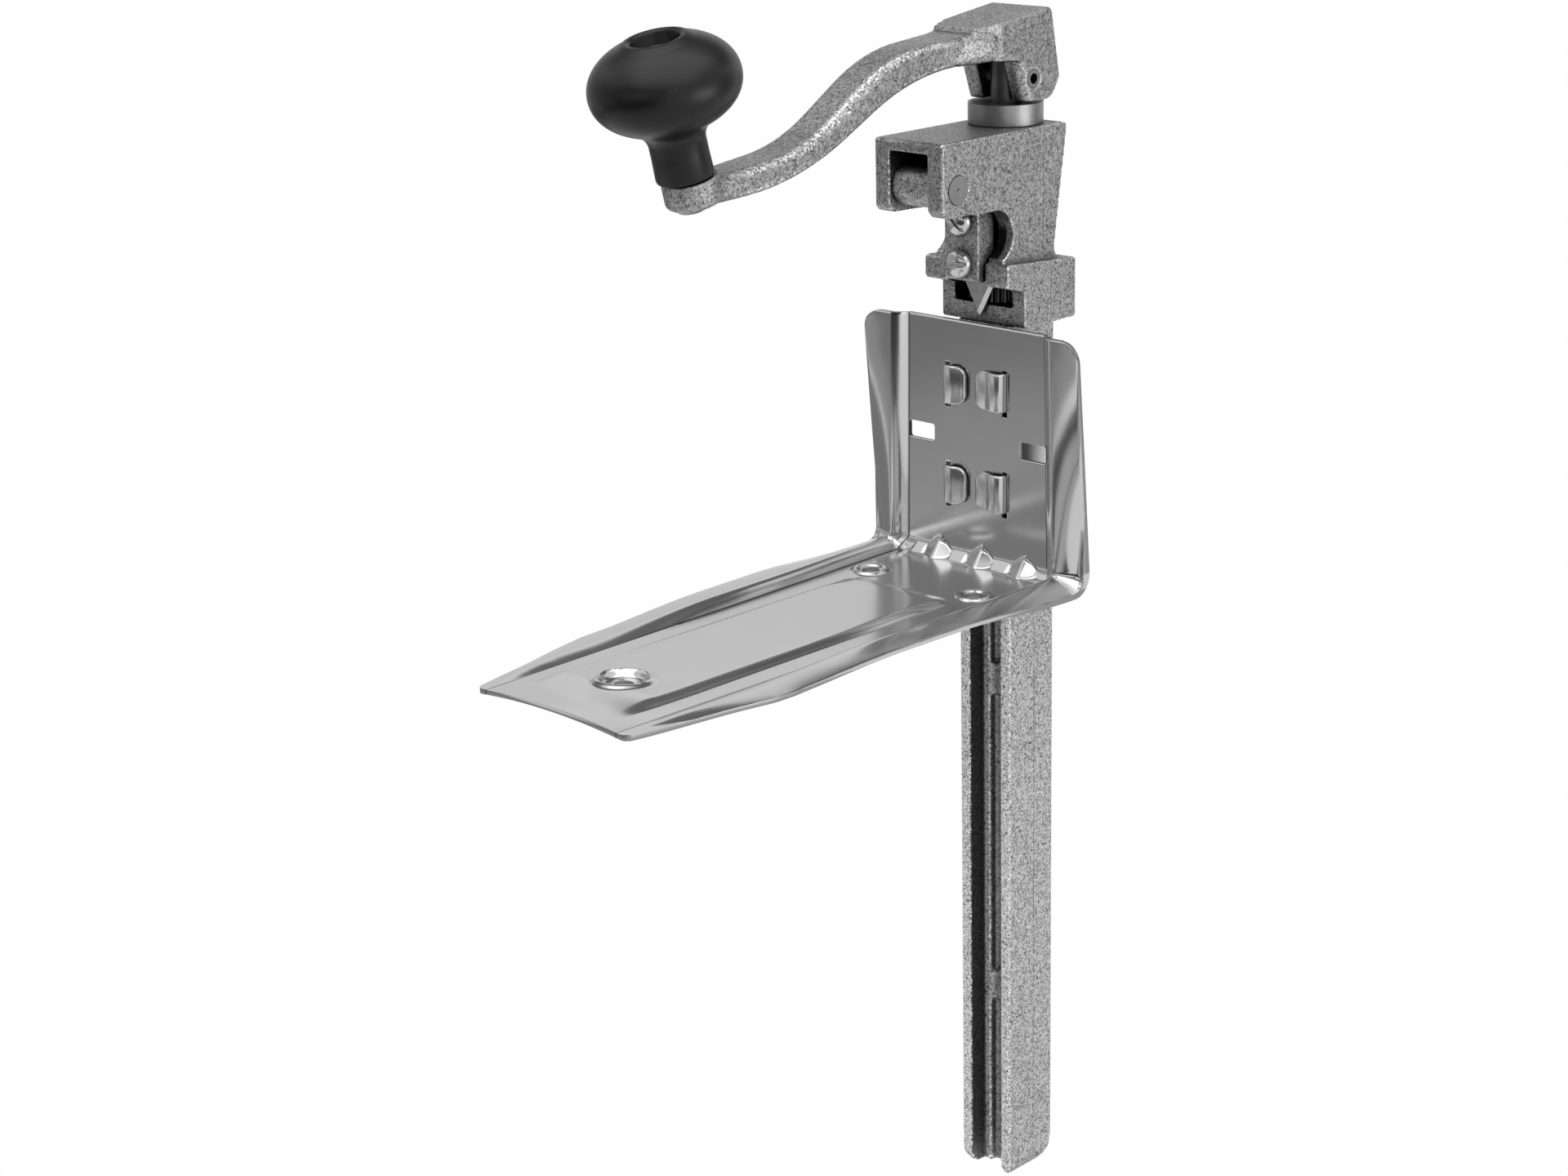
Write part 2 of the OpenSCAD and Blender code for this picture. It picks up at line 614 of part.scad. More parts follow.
knife_head_h = 3.9;
module knife_screw(spin) {
    difference() {
        rotate([90, 0, 0]) rotate_extrude() polygon(rounded([
            [0, -leg_t - blade_t - 0.6, 0], [knife_screw_d / 2, -leg_t - blade_t - 0.6, 0],
            [knife_screw_d / 2, 0, 0], [knife_head_d / 2 - 0.3, 0, 0],
            [knife_head_d / 2, 2.3, 0.8], [knife_head_d / 2 - 1.4, 3.5, 1.6],
            [0, knife_head_h, 0]], 4));
        rotate([0, spin, 0]) translate([-10, -knife_head_h - 1, -0.65]) cube([20, 2.6, 1.3]);
    }
}

module knife_screws() color(polished) on_axis() {
    translate([0, leg_front, knife_screw_z[0]]) knife_screw(-8);
    translate([0, leg_front, knife_screw_z[1]]) knife_screw(42);
}

module knife_pivot_pin() color(steel) on_axis() translate([0, pivot_y, pivot_z]) difference() {
    cross_rod(pivot_d - 0.02, head_w + 0.2);
    for (side = [0, 1]) mirror([side, 0, 0]) translate([head_w / 2 + 0.1, 0, 0])
        rotate([0, -90, 0]) cylinder(r1 = 0.8, r2 = 0.05, h = 0.9, $fn = 24);
}

// ---- Crank ---------------------------------------------------------------

axle_head_d = axle_d + 3;
axle_head_h = 1.2;
boss_y = -crank_r;
boss_z = hub_z - crank_drop;
arm_low = hub_z + 14.7;

// Section across the arm between a top and a bottom point of its side outline
section_r = 2.6;
section_marks = [for (q = [[1, 1], [-1, 1], [-1, -1], [1, -1]]) for (k = [0:3])
    let (a = atan2(q[1], q[0]) - 45 + 30 * k) [q, cos(a), sin(a)]];
function arm_section(top, low) = let (mid = (top + low) / 2, half = norm(top - low) / 2,
    u = unit(top - low), side = arm_side(mid[0]) - section_r) [for (m = section_marks)
        let (x = m[0][0] * side + section_r * m[1],
             h = m[0][1] * (half - section_r) + section_r * m[2])
        [x, mid[0] + h * u[0], mid[1] + h * u[1]]];

// The arm widens into the hub from flare_end to flare_start, cut at flare_marks
flare_start = -18;
flare_end = -41;
flare_marks = [flare_start:-2:-32];
function arm_side(y) = let (k = min(1, max(0, (y - flare_end) / (flare_start - flare_end))),
    full = hub_w / 2 - 0.3) arm_w / 2 + (full - arm_w / 2) * k * k * (3 - 2 * k);
function flared(a, b) = [a, each [for (y = flare_marks)
    [y, a[1] + (b[1] - a[1]) * (y - a[0]) / (b[0] - a[0]), 0]]];
function open_round(path, n) = [for (i = [0:len(path) - 1]) each
    i == 0 || i == len(path) - 1 ? [xy(path[i])]
    : corner(xy(path[i - 1]), xy(path[i]), xy(path[i + 1]), path[i][2], n)];

// Joins sections with equal numbers of points into one solid
module loft(sections) {
    n = len(sections[0]);
    m = len(sections);
    polyhedron(points = [for (q = sections) each q], faces = concat(
        [[for (k = [0:n - 1]) k]], [[for (k = [n - 1:-1:0]) (m - 1) * n + k]],
        [for (i = [0:m - 2]) for (k = [0:n - 1]) let (a = i * n + k, b = i * n + (k + 1) % n)
            each [[a, a + n, b], [b, a + n, b + n]]]));
}

module arm_body() {
    top_bend = [-63.5, arm_low + arm_t - 2.1, 65];
    low_bend = [-54, arm_low - 1.9, 95];
    top = open_round([each flared([-6, arm_low + arm_t + 1.5], top_bend), top_bend,
        [-104.5, boss_z + 12.6, 65], [boss_y + 1, boss_z + 8.2]], 8);
    low = open_round([each flared([-6, arm_low - 0.2], low_bend), low_bend,
        [-107, boss_z + 2.1, 110], [boss_y + 1, boss_z + 0.3]], 8);
    loft([for (i = [0:len(top) - 1]) arm_section(top[i], low[i])]);
}

// The fork's legs lean forward from their feet to fork_h; the near one is well rounded
foot_front = -4.4;
foot_drop = 1;
fork_front = -9;
fork_h = 13.4;
leg_round = 4;
module hub_outline() polygon(rounded([
    [foot_front, hub_z - foot_drop, 1.5], [9.4, hub_z - foot_drop, 6],
    [13.6, hub_z + 6, 2], [9.2, hub_z + 29.9, 2.4],
    [-26, hub_z + 25.3, 0], [-26, hub_z + 14.8, 0], [fork_front, hub_z + fork_h, 0]]));
module rounded_legs() {
    lean_y = (fork_front - foot_front) / fork_h;
    multmatrix([[1, 0, 0, 0], [0, 1, lean_y, -lean_y * hub_z], [0, 0, 1, 0]])
        translate([0, 0, hub_z - 2]) linear_extrude(fork_h + 2) polygon(rounded([
            [-hub_w / 2, 40, 0], [-hub_w / 2, foot_front, 1],
            [hub_w / 2, foot_front, leg_round], [hub_w / 2, 40, 0]]));
    translate([-hub_w, -40, hub_z + fork_h]) cube([2 * hub_w, 80, 30]);
}

module lean() translate([0, boss_y, boss_z]) rotate([knob_lean, 0, 0]) children();

module crank_arm() color(aluminium) on_axis() difference() {
    union() {
        arm_body();
        intersection() {
            side_extrude(hub_w) hub_outline();
            linear_extrude(400) polygon(rounded([
                [-hub_w / 2, 20, 0], [-hub_w / 2, -17, 9], [-arm_w / 2, -29, 6],
                [-arm_w / 2, -30, 0], [arm_w / 2, -30, 0], [arm_w / 2, -29, 6],
                [hub_w / 2, -17, 9], [hub_w / 2, 20, 0]]));
            rounded_legs();
        }
        lean() translate([0, boss_shift, 0]) rotate_extrude() polygon(rounded([
            [0, 0, 0], [boss_d / 2, 0, 2], [boss_d / 2, boss_h, 0], [0, boss_h, 0]], 5));
    }
    // fork slot over the shaft, open to the front
    translate([-fork_gap / 2, -30, hub_z - 2])
        cube([fork_gap, 30 + shaft_d / 2 + 1.5, fork_h + 2.2]);
    translate([0, 0, hub_z + 6.6]) cross_rod(cross_pin_d, hub_w + 2);
    lean() translate([0, 0, -2]) cylinder(d = axle_d, h = boss_h + 4);
    // flat seats for the knob and for the axle's head
    lean() translate([0, 0, boss_h]) cylinder(d = boss_d + 6, h = 6);
    lean() translate([0, 0, -4]) cylinder(d = axle_head_d + 0.6, h = 4);
}

module crank_pin() color(steel) on_axis() translate([0, 0, hub_z + 6.6]) difference() {
    cross_rod(cross_pin_d - 0.02, hub_w - 0.4);
    cross_rod(cross_pin_d - 2.4, hub_w + 2);
}

// ---- Knob ----------------------------------------------------------------

ball_z = 30;
floor_z = knob_h - recess_depth;
// Half outline of the ball at a height z: rounder below its widest part, flatter above
function ball_r(z) = let (low = z < ball_z, t = abs(z - ball_z) / (low ? ball_low : ball_high))
    knob_d / 2 * pow(max(0, 1 - pow(t, 2.1)), 1 / 2.1);
ball_high = knob_h + 0.5 - ball_z;
ball_low = knob_ball_h - ball_high;
function knob_profile() = concat(
    [[axle_d / 2 + run_gap, 0], [neck_d / 2 - 1.2, 0], [neck_d / 2, 0.8], [neck_d / 2 - 0.2, 8]],
    [for (a = [0:13:65]) [neck_d / 2 - 0.2 + 6.4 * (1 - cos(a)), ball_z - ball_low - 4 + 6.4 * sin(a)]],
    [for (k = [5:22]) let (z = ball_z - (k < 12 ? ball_low : ball_high) * cos(k * 180 / 24))
        if (z < knob_h - 0.6) [ball_r(z), z]],
    [[recess_d / 2 + 1.6, knob_h - 0.1], [recess_d / 2 + 0.6, knob_h], [recess_d / 2, knob_h - 0.8],
     [recess_d / 2 - 0.6, floor_z], [axle_d / 2 + run_gap, floor_z]]);

module knob() color(black) on_axis() lean() translate([0, 0, boss_h + face_gap])
    rotate_extrude() polygon(knob_profile());

axle_sunk = 3.5;
module knob_axle() color(steel) on_axis() lean() difference() {
    union() {
        translate([0, 0, -axle_head_h])
            cylinder(d = axle_d - 0.02, h = axle_head_h + boss_h + face_gap + knob_h - axle_sunk);
        translate([0, 0, -axle_head_h])
            cylinder(d1 = axle_head_d - 2, d2 = axle_head_d, h = axle_head_h);
    }
    translate([0, 0, boss_h + face_gap + floor_z + 0.3]) difference() {
        cylinder(d = axle_d + 2, h = 0.9);
        translate([0, 0, -1]) cylinder(d = axle_d - 1, h = 4);
    }
}

module knob_clip() color(black) on_axis() lean()
    translate([0, 0, boss_h + face_gap + floor_z + 0.35]) difference() {
        cylinder(d = axle_d + 4, h = 0.8);
        translate([0, 0, -1]) cylinder(d = axle_d - 1 + 0.04, h = 4);
    }

support_bracket();
guide_channel();
column_casting();
upper_bush();
lower_bush();
drive_shaft();
feed_gear();
knife_holder();
knife_blade();
knife_screws();
knife_pivot_pin();
crank_arm();
crank_pin();
knob();
knob_axle();
knob_clip();
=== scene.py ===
"""A bench-mounted can opener: a cast column that slides in a pressed bracket.

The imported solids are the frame. The castings, bracket, guide, gear, knob, blade and
screws get finer meshes here. The bushes, shaft, pins, axle and clip keep their solids.
Sizes are written in millimetres, and become Blender's metres by MM.
"""

import json
import math

import bmesh
import bpy
import numpy as np
from mathutils import Matrix, Vector

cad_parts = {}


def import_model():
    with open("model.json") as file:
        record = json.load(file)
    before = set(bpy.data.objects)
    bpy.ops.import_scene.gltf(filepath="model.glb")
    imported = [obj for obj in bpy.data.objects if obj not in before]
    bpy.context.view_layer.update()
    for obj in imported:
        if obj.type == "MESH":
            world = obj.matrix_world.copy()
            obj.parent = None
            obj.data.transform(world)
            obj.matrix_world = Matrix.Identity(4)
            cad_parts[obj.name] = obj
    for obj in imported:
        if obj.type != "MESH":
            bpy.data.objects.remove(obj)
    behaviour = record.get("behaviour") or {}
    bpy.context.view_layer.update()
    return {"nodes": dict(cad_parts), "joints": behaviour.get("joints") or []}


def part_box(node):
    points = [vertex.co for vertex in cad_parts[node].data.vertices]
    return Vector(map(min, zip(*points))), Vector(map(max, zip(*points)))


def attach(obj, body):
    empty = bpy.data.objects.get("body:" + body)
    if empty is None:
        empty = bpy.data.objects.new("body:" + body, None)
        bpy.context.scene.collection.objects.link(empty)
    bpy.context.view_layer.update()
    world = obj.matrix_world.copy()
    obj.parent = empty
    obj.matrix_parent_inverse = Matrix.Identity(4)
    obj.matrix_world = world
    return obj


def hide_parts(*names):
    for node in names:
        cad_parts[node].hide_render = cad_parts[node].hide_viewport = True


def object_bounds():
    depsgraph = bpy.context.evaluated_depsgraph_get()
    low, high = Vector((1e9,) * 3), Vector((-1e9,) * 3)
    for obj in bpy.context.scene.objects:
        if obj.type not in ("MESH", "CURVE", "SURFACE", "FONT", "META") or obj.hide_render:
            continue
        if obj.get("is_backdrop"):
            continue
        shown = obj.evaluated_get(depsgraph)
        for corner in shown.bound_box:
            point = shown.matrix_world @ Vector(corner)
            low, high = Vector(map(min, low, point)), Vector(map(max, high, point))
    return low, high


MM = 0.001

# The bar's axis in Y, for the finishes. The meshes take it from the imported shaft.
AXIS_Y = 45.0

# The bracket's sheet, in Y from the bar's axis and in Z from the table
SHEET = 1.5
BEND = 5.0
PANEL_FRONT = -15.9
TONGUE_END = PANEL_FRONT - BEND
REACH = 215.0
TAPER = 53.0
TIP_HALF = 34
TAPER_HALF = 45
PANEL_TOP = 87.3
PANEL_HALF = 47.8
BEAD_RISE = 5.6
PAD_FOOT = 23.0
PAD_TOP = 18.5
PAD_HIGH = 1.8
GUSSET_PLACES = (-16.8, 2.6, 22.0)
FLAT_PLACES = ((-28.0, -22.9), (-10.9, -4.0), (8.5, 15.8))
TIP_HOLE = 139.0
REAR_HOLE_X = 23.65
HOLE_RADIUS = 3.1
WINDOW_X = 25.05
WINDOW_HALF = 5.95
WINDOW_Z = (42.7, 48.8)
TAB_SLOT_X = 12.8
TAB_SLOT_HALF = 1.1
TAB_SLOT_LOW = (20.4, 56.2)
TAB_SLOT_TALL = 16
TAB_FIRST = 22.2
TAB_PITCH = 35.8

# Half widths and heights of the sheet's section: where the tongue ends, where the panel
# starts, and at the panel's top
FLAT_HALF = (33.2, 31.6, 30.4)
EDGE_HALF = (48, 47.6, 48)
LIP_HIGH = (-0.5, -1.8, 4.9)
CREST_HIGH = (3.6, 3.8, 3.8)
FLAT_NARROWING = 3.4

# Where the castings' finish changes, as fades that start and end at these places: the parting line,
# the head's hollow with painted shade, the grip, the bar's front rim faces with partly painted sheen,
# and the groove's walls with painted shade
SEAM_Y = 46.6
SEAM_FADE = (0.05, 0.4)
HOLLOW_X = (11.6, 12.4)
HOLLOW_Y = ((25.5, 27), (36, 38))
HOLLOW_Z = ((93, 95), (120, 124))
GRIP_Y = ((-98, -82), (-15, 20))
RIM_Y = (34, 35)
GROOVE_X = (5, 6)

# The knife and the gear
LEG_FACE = -23.2
SCREW_LOW = 109.2
SCREW_PITCH = 14.4
GEAR_TEETH = 32
TOOTH_DEPTH = 1.3
GEAR_BORE = 4.25


# ---- Node trees ----


class Wire:
    """One socket of a node tree. Python's + - * / on it add Math nodes."""

    def __init__(self, graph, socket):
        self.graph = graph
        self.socket = socket

    def __add__(self, other):
        return self.graph.math("ADD", self, other)

    def __sub__(self, other):
        return self.graph.math("SUBTRACT", self, other)

    def __rsub__(self, other):
        return self.graph.math("SUBTRACT", other, self)

    def __mul__(self, other):
        return self.graph.math("MULTIPLY", self, other)

    def __truediv__(self, other):
        return self.graph.math("DIVIDE", self, other)

    def __abs__(self):
        return self.graph.math("ABSOLUTE", self)

    __radd__ = __add__
    __rmul__ = __mul__

    def above(self, start, full):
        """0 where the value is under start, 1 over full, smooth between them."""
        sockets = {"Value": self, "From Min": start, "From Max": full}
        settings = {"interpolation_type": "SMOOTHSTEP"}
        return self.graph.add("ShaderNodeMapRange", settings, sockets)

    def past(self, fade):
        """The same for a place, with a fade in millimetres."""
        return self.above(fade[0] * MM, fade[1] * MM)

    def within(self, rise, fall):
        """1 between two fades in millimetres and 0 outside them."""
        return self.past(rise) * (1 - self.past(fall))


class Graph:
    """A node tree, of a material, the world or a Geometry Nodes group."""

    def __init__(self, tree):
        self.tree = tree
        self.tree.nodes.clear()

    def add(self, kind, settings=None, sockets=None, output=0):
        """Adds a node, sets its settings, then its sockets, and returns one output if any.

        A socket takes a value, a wire, or a list of wires that join in it.
        """
        node = self.tree.nodes.new(kind)
        for name, value in (settings or {}).items():
            setattr(node, name, value)
        for key, given in (sockets or {}).items():
            for value in given if isinstance(given, list) else [given]:
                if isinstance(value, Wire):
                    self.tree.links.new(value.socket, node.inputs[key])
                else:
                    node.inputs[key].default_value = value
        return Wire(self, node.outputs[output]) if len(node.outputs) else None

    def math(self, operation, first, second=0.0):
        """A Math node on one or two values."""
        return self.add("ShaderNodeMath", {"operation": operation}, {0: first, 1: second})

    def place(self):
        """Object coordinates."""
        return self.add("ShaderNodeTexCoord", output="Object")

    def parts(self, vector):
        """The X, Y and Z of a vector."""
        split = self.add("ShaderNodeSeparateXYZ", None, {"Vector": vector})
        return [Wire(self, socket) for socket in split.socket.node.outputs]

    def noise(self, scale, detail=2.0, roughness=0.5, stretch=None):
        """Noise from 0 to 1 whose cells are about 1 / scale metres across."""
        place = self.place()
        if stretch:
            place = self.add("ShaderNodeMapping", None, {"Vector": place, "Scale": stretch})
        sockets = {"Vector": place, "Scale": scale, "Detail": detail, "Roughness": roughness}
        return self.add("ShaderNodeTexNoise", None, sockets)

    def grey(self, value):
        """The colour that is black at value 0 and white at 1."""
        settings = {"data_type": "RGBA", "clamp_factor": True}
        sockets = {0: value, 6: (0, 0, 0, 1), 7: (1, 1, 1, 1)}
        return self.add("ShaderNodeMix", settings, sockets, output=2)

    def facing(self):
        """How far a face points along X, Y and Z."""
        return self.parts(self.add("ShaderNodeNewGeometry", output="Normal"))

    def bump(self, height, depth):
        """A normal raised by height, which is depth millimetres at 1."""
        sockets = {"Height": height, "Distance": depth * MM, "Strength": 1.0}
        return self.add("ShaderNodeBump", None, sockets)

    def openness(self, reach):
        """1 on open faces, towards 0 in slots and corners within those millimetres. The finishes
        darken their colour by it, as painted shade.
        """
        settings = {"samples": 6, "only_local": False}
        sockets = {"Distance": reach * MM}
        return self.add("ShaderNodeAmbientOcclusion", settings, sockets, "AO")

    def attribute(self, name):
        """A value that the mesh stores at each of its points."""
        return self.add("ShaderNodeAttribute", {"attribute_name": name}, output="Fac")


def new_material(name):
    """A material and its empty tree."""
    material = bpy.data.materials.new(name)
    material.use_nodes = True
    return material, Graph(material.node_tree)


def new_finish(name, build, **constants):
    """A material whose Principled shader gets what build(graph) returns by socket."""
    material, graph = new_material(name)
    sockets = dict(constants)
    sockets.update(build(graph))
    shader = graph.add("ShaderNodeBsdfPrincipled", None, sockets)
    graph.add("ShaderNodeOutputMaterial", None, {"Surface": shader})
    return material


# ---- Finishes ----


def surface(graph, tone, rough, height, depth):
    """The shader's sockets for a grey, a roughness and a relief that many millimetres deep."""
    return {"Base Color": graph.grey(tone), "Roughness": rough, "Normal": graph.bump(height, depth)}


def cast_wear(graph, edge, y, handled):
    """1 on worn bright edges and specks. Hands polish the crank where they grip it."""
    specks = graph.noise(1200, 1, 0.5)
    wear = (edge * (0.5 + handled) + (specks - 0.5) * 1.6).above(0.42, 0.75)
    wear = wear * edge.above(0.12 - handled * 0.1, 0.5 - handled * 0.3)
    return wear * (1 - (1 - y.within(*GRIP_Y)) * handled)


def groove_shade_mask(graph, x):
    """1 on the walls of the bar's groove that face its middle, where shade is painted."""
    right = graph.facing()[0]
    inward = 0 - right * graph.math("SIGN", x)
    return inward.above(0.5, 0.8) * abs(x).past(GROOVE_X)


def sand_cast(graph, light=0.58, handled=0.0, seam=0.0, rub_and_sheen=0.0, painted_hollow=0.0, groove=0.0):
    """Tumbled sand-cast aluminium: a fine bright grain, dark pits, worn bright specks.

    light is the brightest grey of the grain and dark the dimmest. The others say how much there is of
    polish by hands, parting line, front rim faces made paler partly by the guide's rubbing and partly
    as painted sheen, painted shade that makes the head's slot read as a hollow, and painted shade on
    the groove's walls. Hollows and concave places get painted shade too.
    """
    dark, worn, grain_depth = 0.06, 0.9, 0.11
    coarse = graph.noise(460, 3, 0.6)
    fine = graph.noise(1300, 2, 0.65)
    cloud = graph.noise(45, 3, 0.5)
    pits = graph.noise(800, 2, 0.6).above(0.6, 0.68)
    edge = graph.attribute("edge")
    # Painted shade: concave places are painted darker.
    concave_shade = (0 - edge).above(0.1, 0.7)
    x, y, z = graph.parts(graph.place())
    wear = cast_wear(graph, edge, y, handled)
    # Painted shade: the inner part of the head's slot walls is painted near black, to read as a
    # hollow.
    inside = (1 - abs(x).past(HOLLOW_X)) * y.within(*HOLLOW_Y) * z.within(*HOLLOW_Z) * painted_hollow
    ridge = (1 - abs(y - SEAM_Y * MM).past(SEAM_FADE)) * seam
    # The bar's front faces are painted paler: partly wear from the guide's rubbing, partly painted
    # sheen.
    rim_rub_and_sheen = (0 - graph.facing()[1]).above(0.5, 0.9) * (1 - y.past(RIM_Y)) * rub_and_sheen
    # Painted shade on the groove's walls.
    wall_shade = groove_shade_mask(graph, x) * groove
    # Painted shade: the colour darkens in hollows, slots and corners, less so on the bar.
    hollow_shade = graph.openness(11) * (0.8 - groove * 0.5) + (0.2 + groove * 0.5)
    deep = graph.openness(35).above(0.06, 0.4) * (0.92 - groove) + (0.08 + groove)
    shade = fine.above(0.3, 0.64) * 0.64 + coarse.above(0.3, 0.7) * 0.24 + cloud * 0.12
    shade = shade * (1 - pits * 0.85) * (1 - concave_shade * 0.45)
    tone = (shade * (light - dark) + dark) * hollow_shade * deep
    tone = tone * (1 - ridge * 0.3) * (1 + rim_rub_and_sheen) * (1 - wall_shade * 0.8)
    tone = (tone * (1 - wear) + wear * worn) * (1 - inside * 0.93)
    rough = 0.42 + fine * 0.12 - wear * 0.14
    height = coarse * 0.45 + fine * 0.55 - pits * 0.6 + ridge * 1.2
    return surface(graph, tone, rough, height, grain_depth)


def head_cast(graph):
    """The column's head: a parting line down its sides, and painted shade, near black, on the inner
    part of its slot's walls, so that they read as a hollow.
    """
    return sand_cast(graph, light=0.53, seam=1.0, painted_hollow=1.0)


def bar_cast(graph):
    """The column's bar: grain painted lighter than the head's, as painted light; front faces paler,
    partly worn by the guide's rubbing and partly painted sheen; painted shade on the groove's walls.
    """
    # Painted light: the bar's grain is painted lighter than the head's, as more light falls low down.
    return sand_cast(graph, light=0.7, seam=1.0, rub_and_sheen=0.4, groove=0.7)


def handled_cast(graph):
    """The crank's aluminium, whose edges hands polish bright."""
    return sand_cast(graph, light=0.5, handled=0.9)


def bead_crease(x, y, z, high):
    """1 along the line where the flat meets the bead, on the tongue and on the panel, where a dark
    line of shade is painted.
    """
    tongue_slope = 0.0175
    panel_foot, panel_slope = 31.7, 0.0149
    on_tongue = (y - (AXIS_Y + TONGUE_END) * MM) * tongue_slope + FLAT_HALF[0] * MM
    on_panel = panel_foot * MM - z * panel_slope
    line = on_tongue * (1 - high) + on_panel * high
    return 1 - abs(abs(x) - line).past((0.1, 0.45))


def cut_edge(graph, z, high):
    """1 where the sheet is cut, which faces neither up from the tongue nor out of the panel."""
    _, ahead, up = graph.facing()
    broad = abs(up) * (1 - high) + abs(ahead) * high
    bend = z.within((1.5, 2.5), (6.5, 7.5))
    return (1 - broad.above(0.25, 0.5)) * (1 - bend)


def chromed(graph):
    """Polished plated sheet: long faint waves, fine scratches, specks, and painted shade along the
    creases.
    """
    polish, gloss = 0.56, 0.17
    wave = graph.noise(26, 2, 0.4)
    haze = graph.noise(90, 4, 0.6)
    scratch = graph.noise(1400, 1, 0.5, (0.03, 1.0, 0.03)).above(0.7, 0.78)
    specks = graph.noise(900, 1, 0.5).above(0.76, 0.8)
    x, y, z = graph.parts(graph.place())
    high = z.past((2.5, 6.5))
    # Painted shade along the crease where the flat meets the bead.
    crease_shade = bead_crease(x, y, z, high)
    cut = cut_edge(graph, z, high)
    tone = (polish - haze * 0.03 - specks * 0.1 + scratch * 0.03) * (1 - crease_shade * 0.75)
    rough = gloss - high * 0.06 + haze * 0.05 + scratch * 0.04 + cut * 0.25
    return surface(graph, tone * (1 - cut * 0.5), rough, wave * 0.25 + scratch * 0.002, 0.2)


def turned_steel(graph, polish=0.28):
    """Machined plated steel with a fine turning grain."""
    grain = graph.noise(1500, 2, 0.5, (1.0, 1.0, 0.2))
    blotch = graph.noise(150, 3, 0.5)
    # Painted shade: the colour darkens in hollows.
    hollow_shade = graph.openness(9) * 0.85 + 0.15
    tone = (polish + (blotch - 0.5) * 0.14) * hollow_shade
    return surface(graph, tone, 0.36 + grain * 0.1, grain, 0.02)


def dark_steel(graph):
    """Turned steel painted darker: painted shade for the shaft and the gear, which sit in shadow."""
    return turned_steel(graph, polish=0.13)


def plated(graph):
    """Plated folded sheet, with painted shade just behind the panel and in its hollows."""
    haze = graph.noise(90, 4, 0.6)
    # Painted shade: the colour darkens in hollows.
    hollow_shade = graph.openness(6) * 0.9 + 0.1
    y = graph.parts(graph.place())[1]
    panel = AXIS_Y + PANEL_FRONT
    # Painted shade just behind the panel.
    panel_shade = y.within((panel + 1, panel + 1.3), (panel + 10, panel + 22))
    tone = (0.56 - haze * 0.04) * hollow_shade * (1 - panel_shade * 0.92)
    return surface(graph, tone, 0.22 + haze * 0.05, haze, 0.02)


def nickelled(graph):
    """Bright screws: smooth with a little handling wear."""
    blotch = graph.noise(400, 3, 0.6)
    return surface(graph, 0.42 + blotch * 0.2, 0.14 + blotch * 0.1, blotch, 0.03)


def moulded_plastic(graph):
    """Black moulded plastic with a soft gloss and small nicks."""
    nicks = graph.noise(520, 2, 0.5).above(0.7, 0.76)
    cloud = graph.noise(70, 3, 0.5)
    rough = 0.3 + cloud * 0.12 + nicks * 0.1
    return surface(graph, 0.004 + nicks * 0.02, rough, nicks * -0.5 + cloud * 0.2, 0.04)


# ---- Stage ----


def linked(name, data):
    """A new object in the scene that holds this data."""
    made = bpy.data.objects.new(name, data)
    bpy.context.collection.objects.link(made)
    return made


def set_camera():
    """The camera looks at the model's long side from the front right, a little above."""
    azimuth, elevation, roll = (math.radians(a) for a in (44.64, 17.43, -1.42))
    level = Vector((math.cos(azimuth), math.sin(azimuth), 0))
    back = Vector((math.sin(azimuth), -math.cos(azimuth), 0)) * math.cos(elevation)
    back.z = math.sin(elevation)
    rise = back.cross(level)
    right = level * math.cos(roll) + rise * math.sin(roll)
    rise = back.cross(right)
    place = Vector((0.645, -0.7203, 0.3041))
    data = bpy.data.cameras.new("camera")
    data.sensor_width = 36
    data.lens = 67.7
    data.clip_start = 0.01
    camera = linked("camera", data)
    rows = [[right[i], rise[i], back[i], place[i]] for i in range(3)]
    camera.matrix_world = Matrix(rows + [[0, 0, 0, 1]])
    bpy.context.scene.camera = camera


def softbox(name, place, target, size, power):
    """An area lamp of that width and height in metres, turned to its target."""
    data = bpy.data.lights.new(name, "AREA")
    data.shape = "RECTANGLE"
    data.size, data.size_y = size
    data.energy = power
    lamp = linked(name, data)
    lamp.location = place
    aim = Vector(target) - Vector(place)
    lamp.rotation_euler = aim.to_track_quat("-Z", "Y").to_euler()


def seen_white(graph):
    """1 for rays that look at the background: from the camera, a mirror or glass."""
    kinds = ("Is Camera Ray", "Is Glossy Ray", "Is Transmission Ray")
    first, second, third = (graph.add("ShaderNodeLightPath", output=kind) for kind in kinds)
    nearer = graph.math("MAXIMUM", first, second)
    return graph.math("MAXIMUM", nearer, third)


def set_world(level):
    """A white background over an even studio light of that level."""
    world = bpy.data.worlds.new("studio")
    bpy.context.scene.world = world
    world.use_nodes = True
    graph = Graph(world.node_tree)
    strength = seen_white(graph) * (1 - level) + level
    light = graph.add("ShaderNodeBackground", None, {"Color": (1, 1, 1, 1), "Strength": strength})
    graph.add("ShaderNodeOutputWorld", None, {"Surface": light})


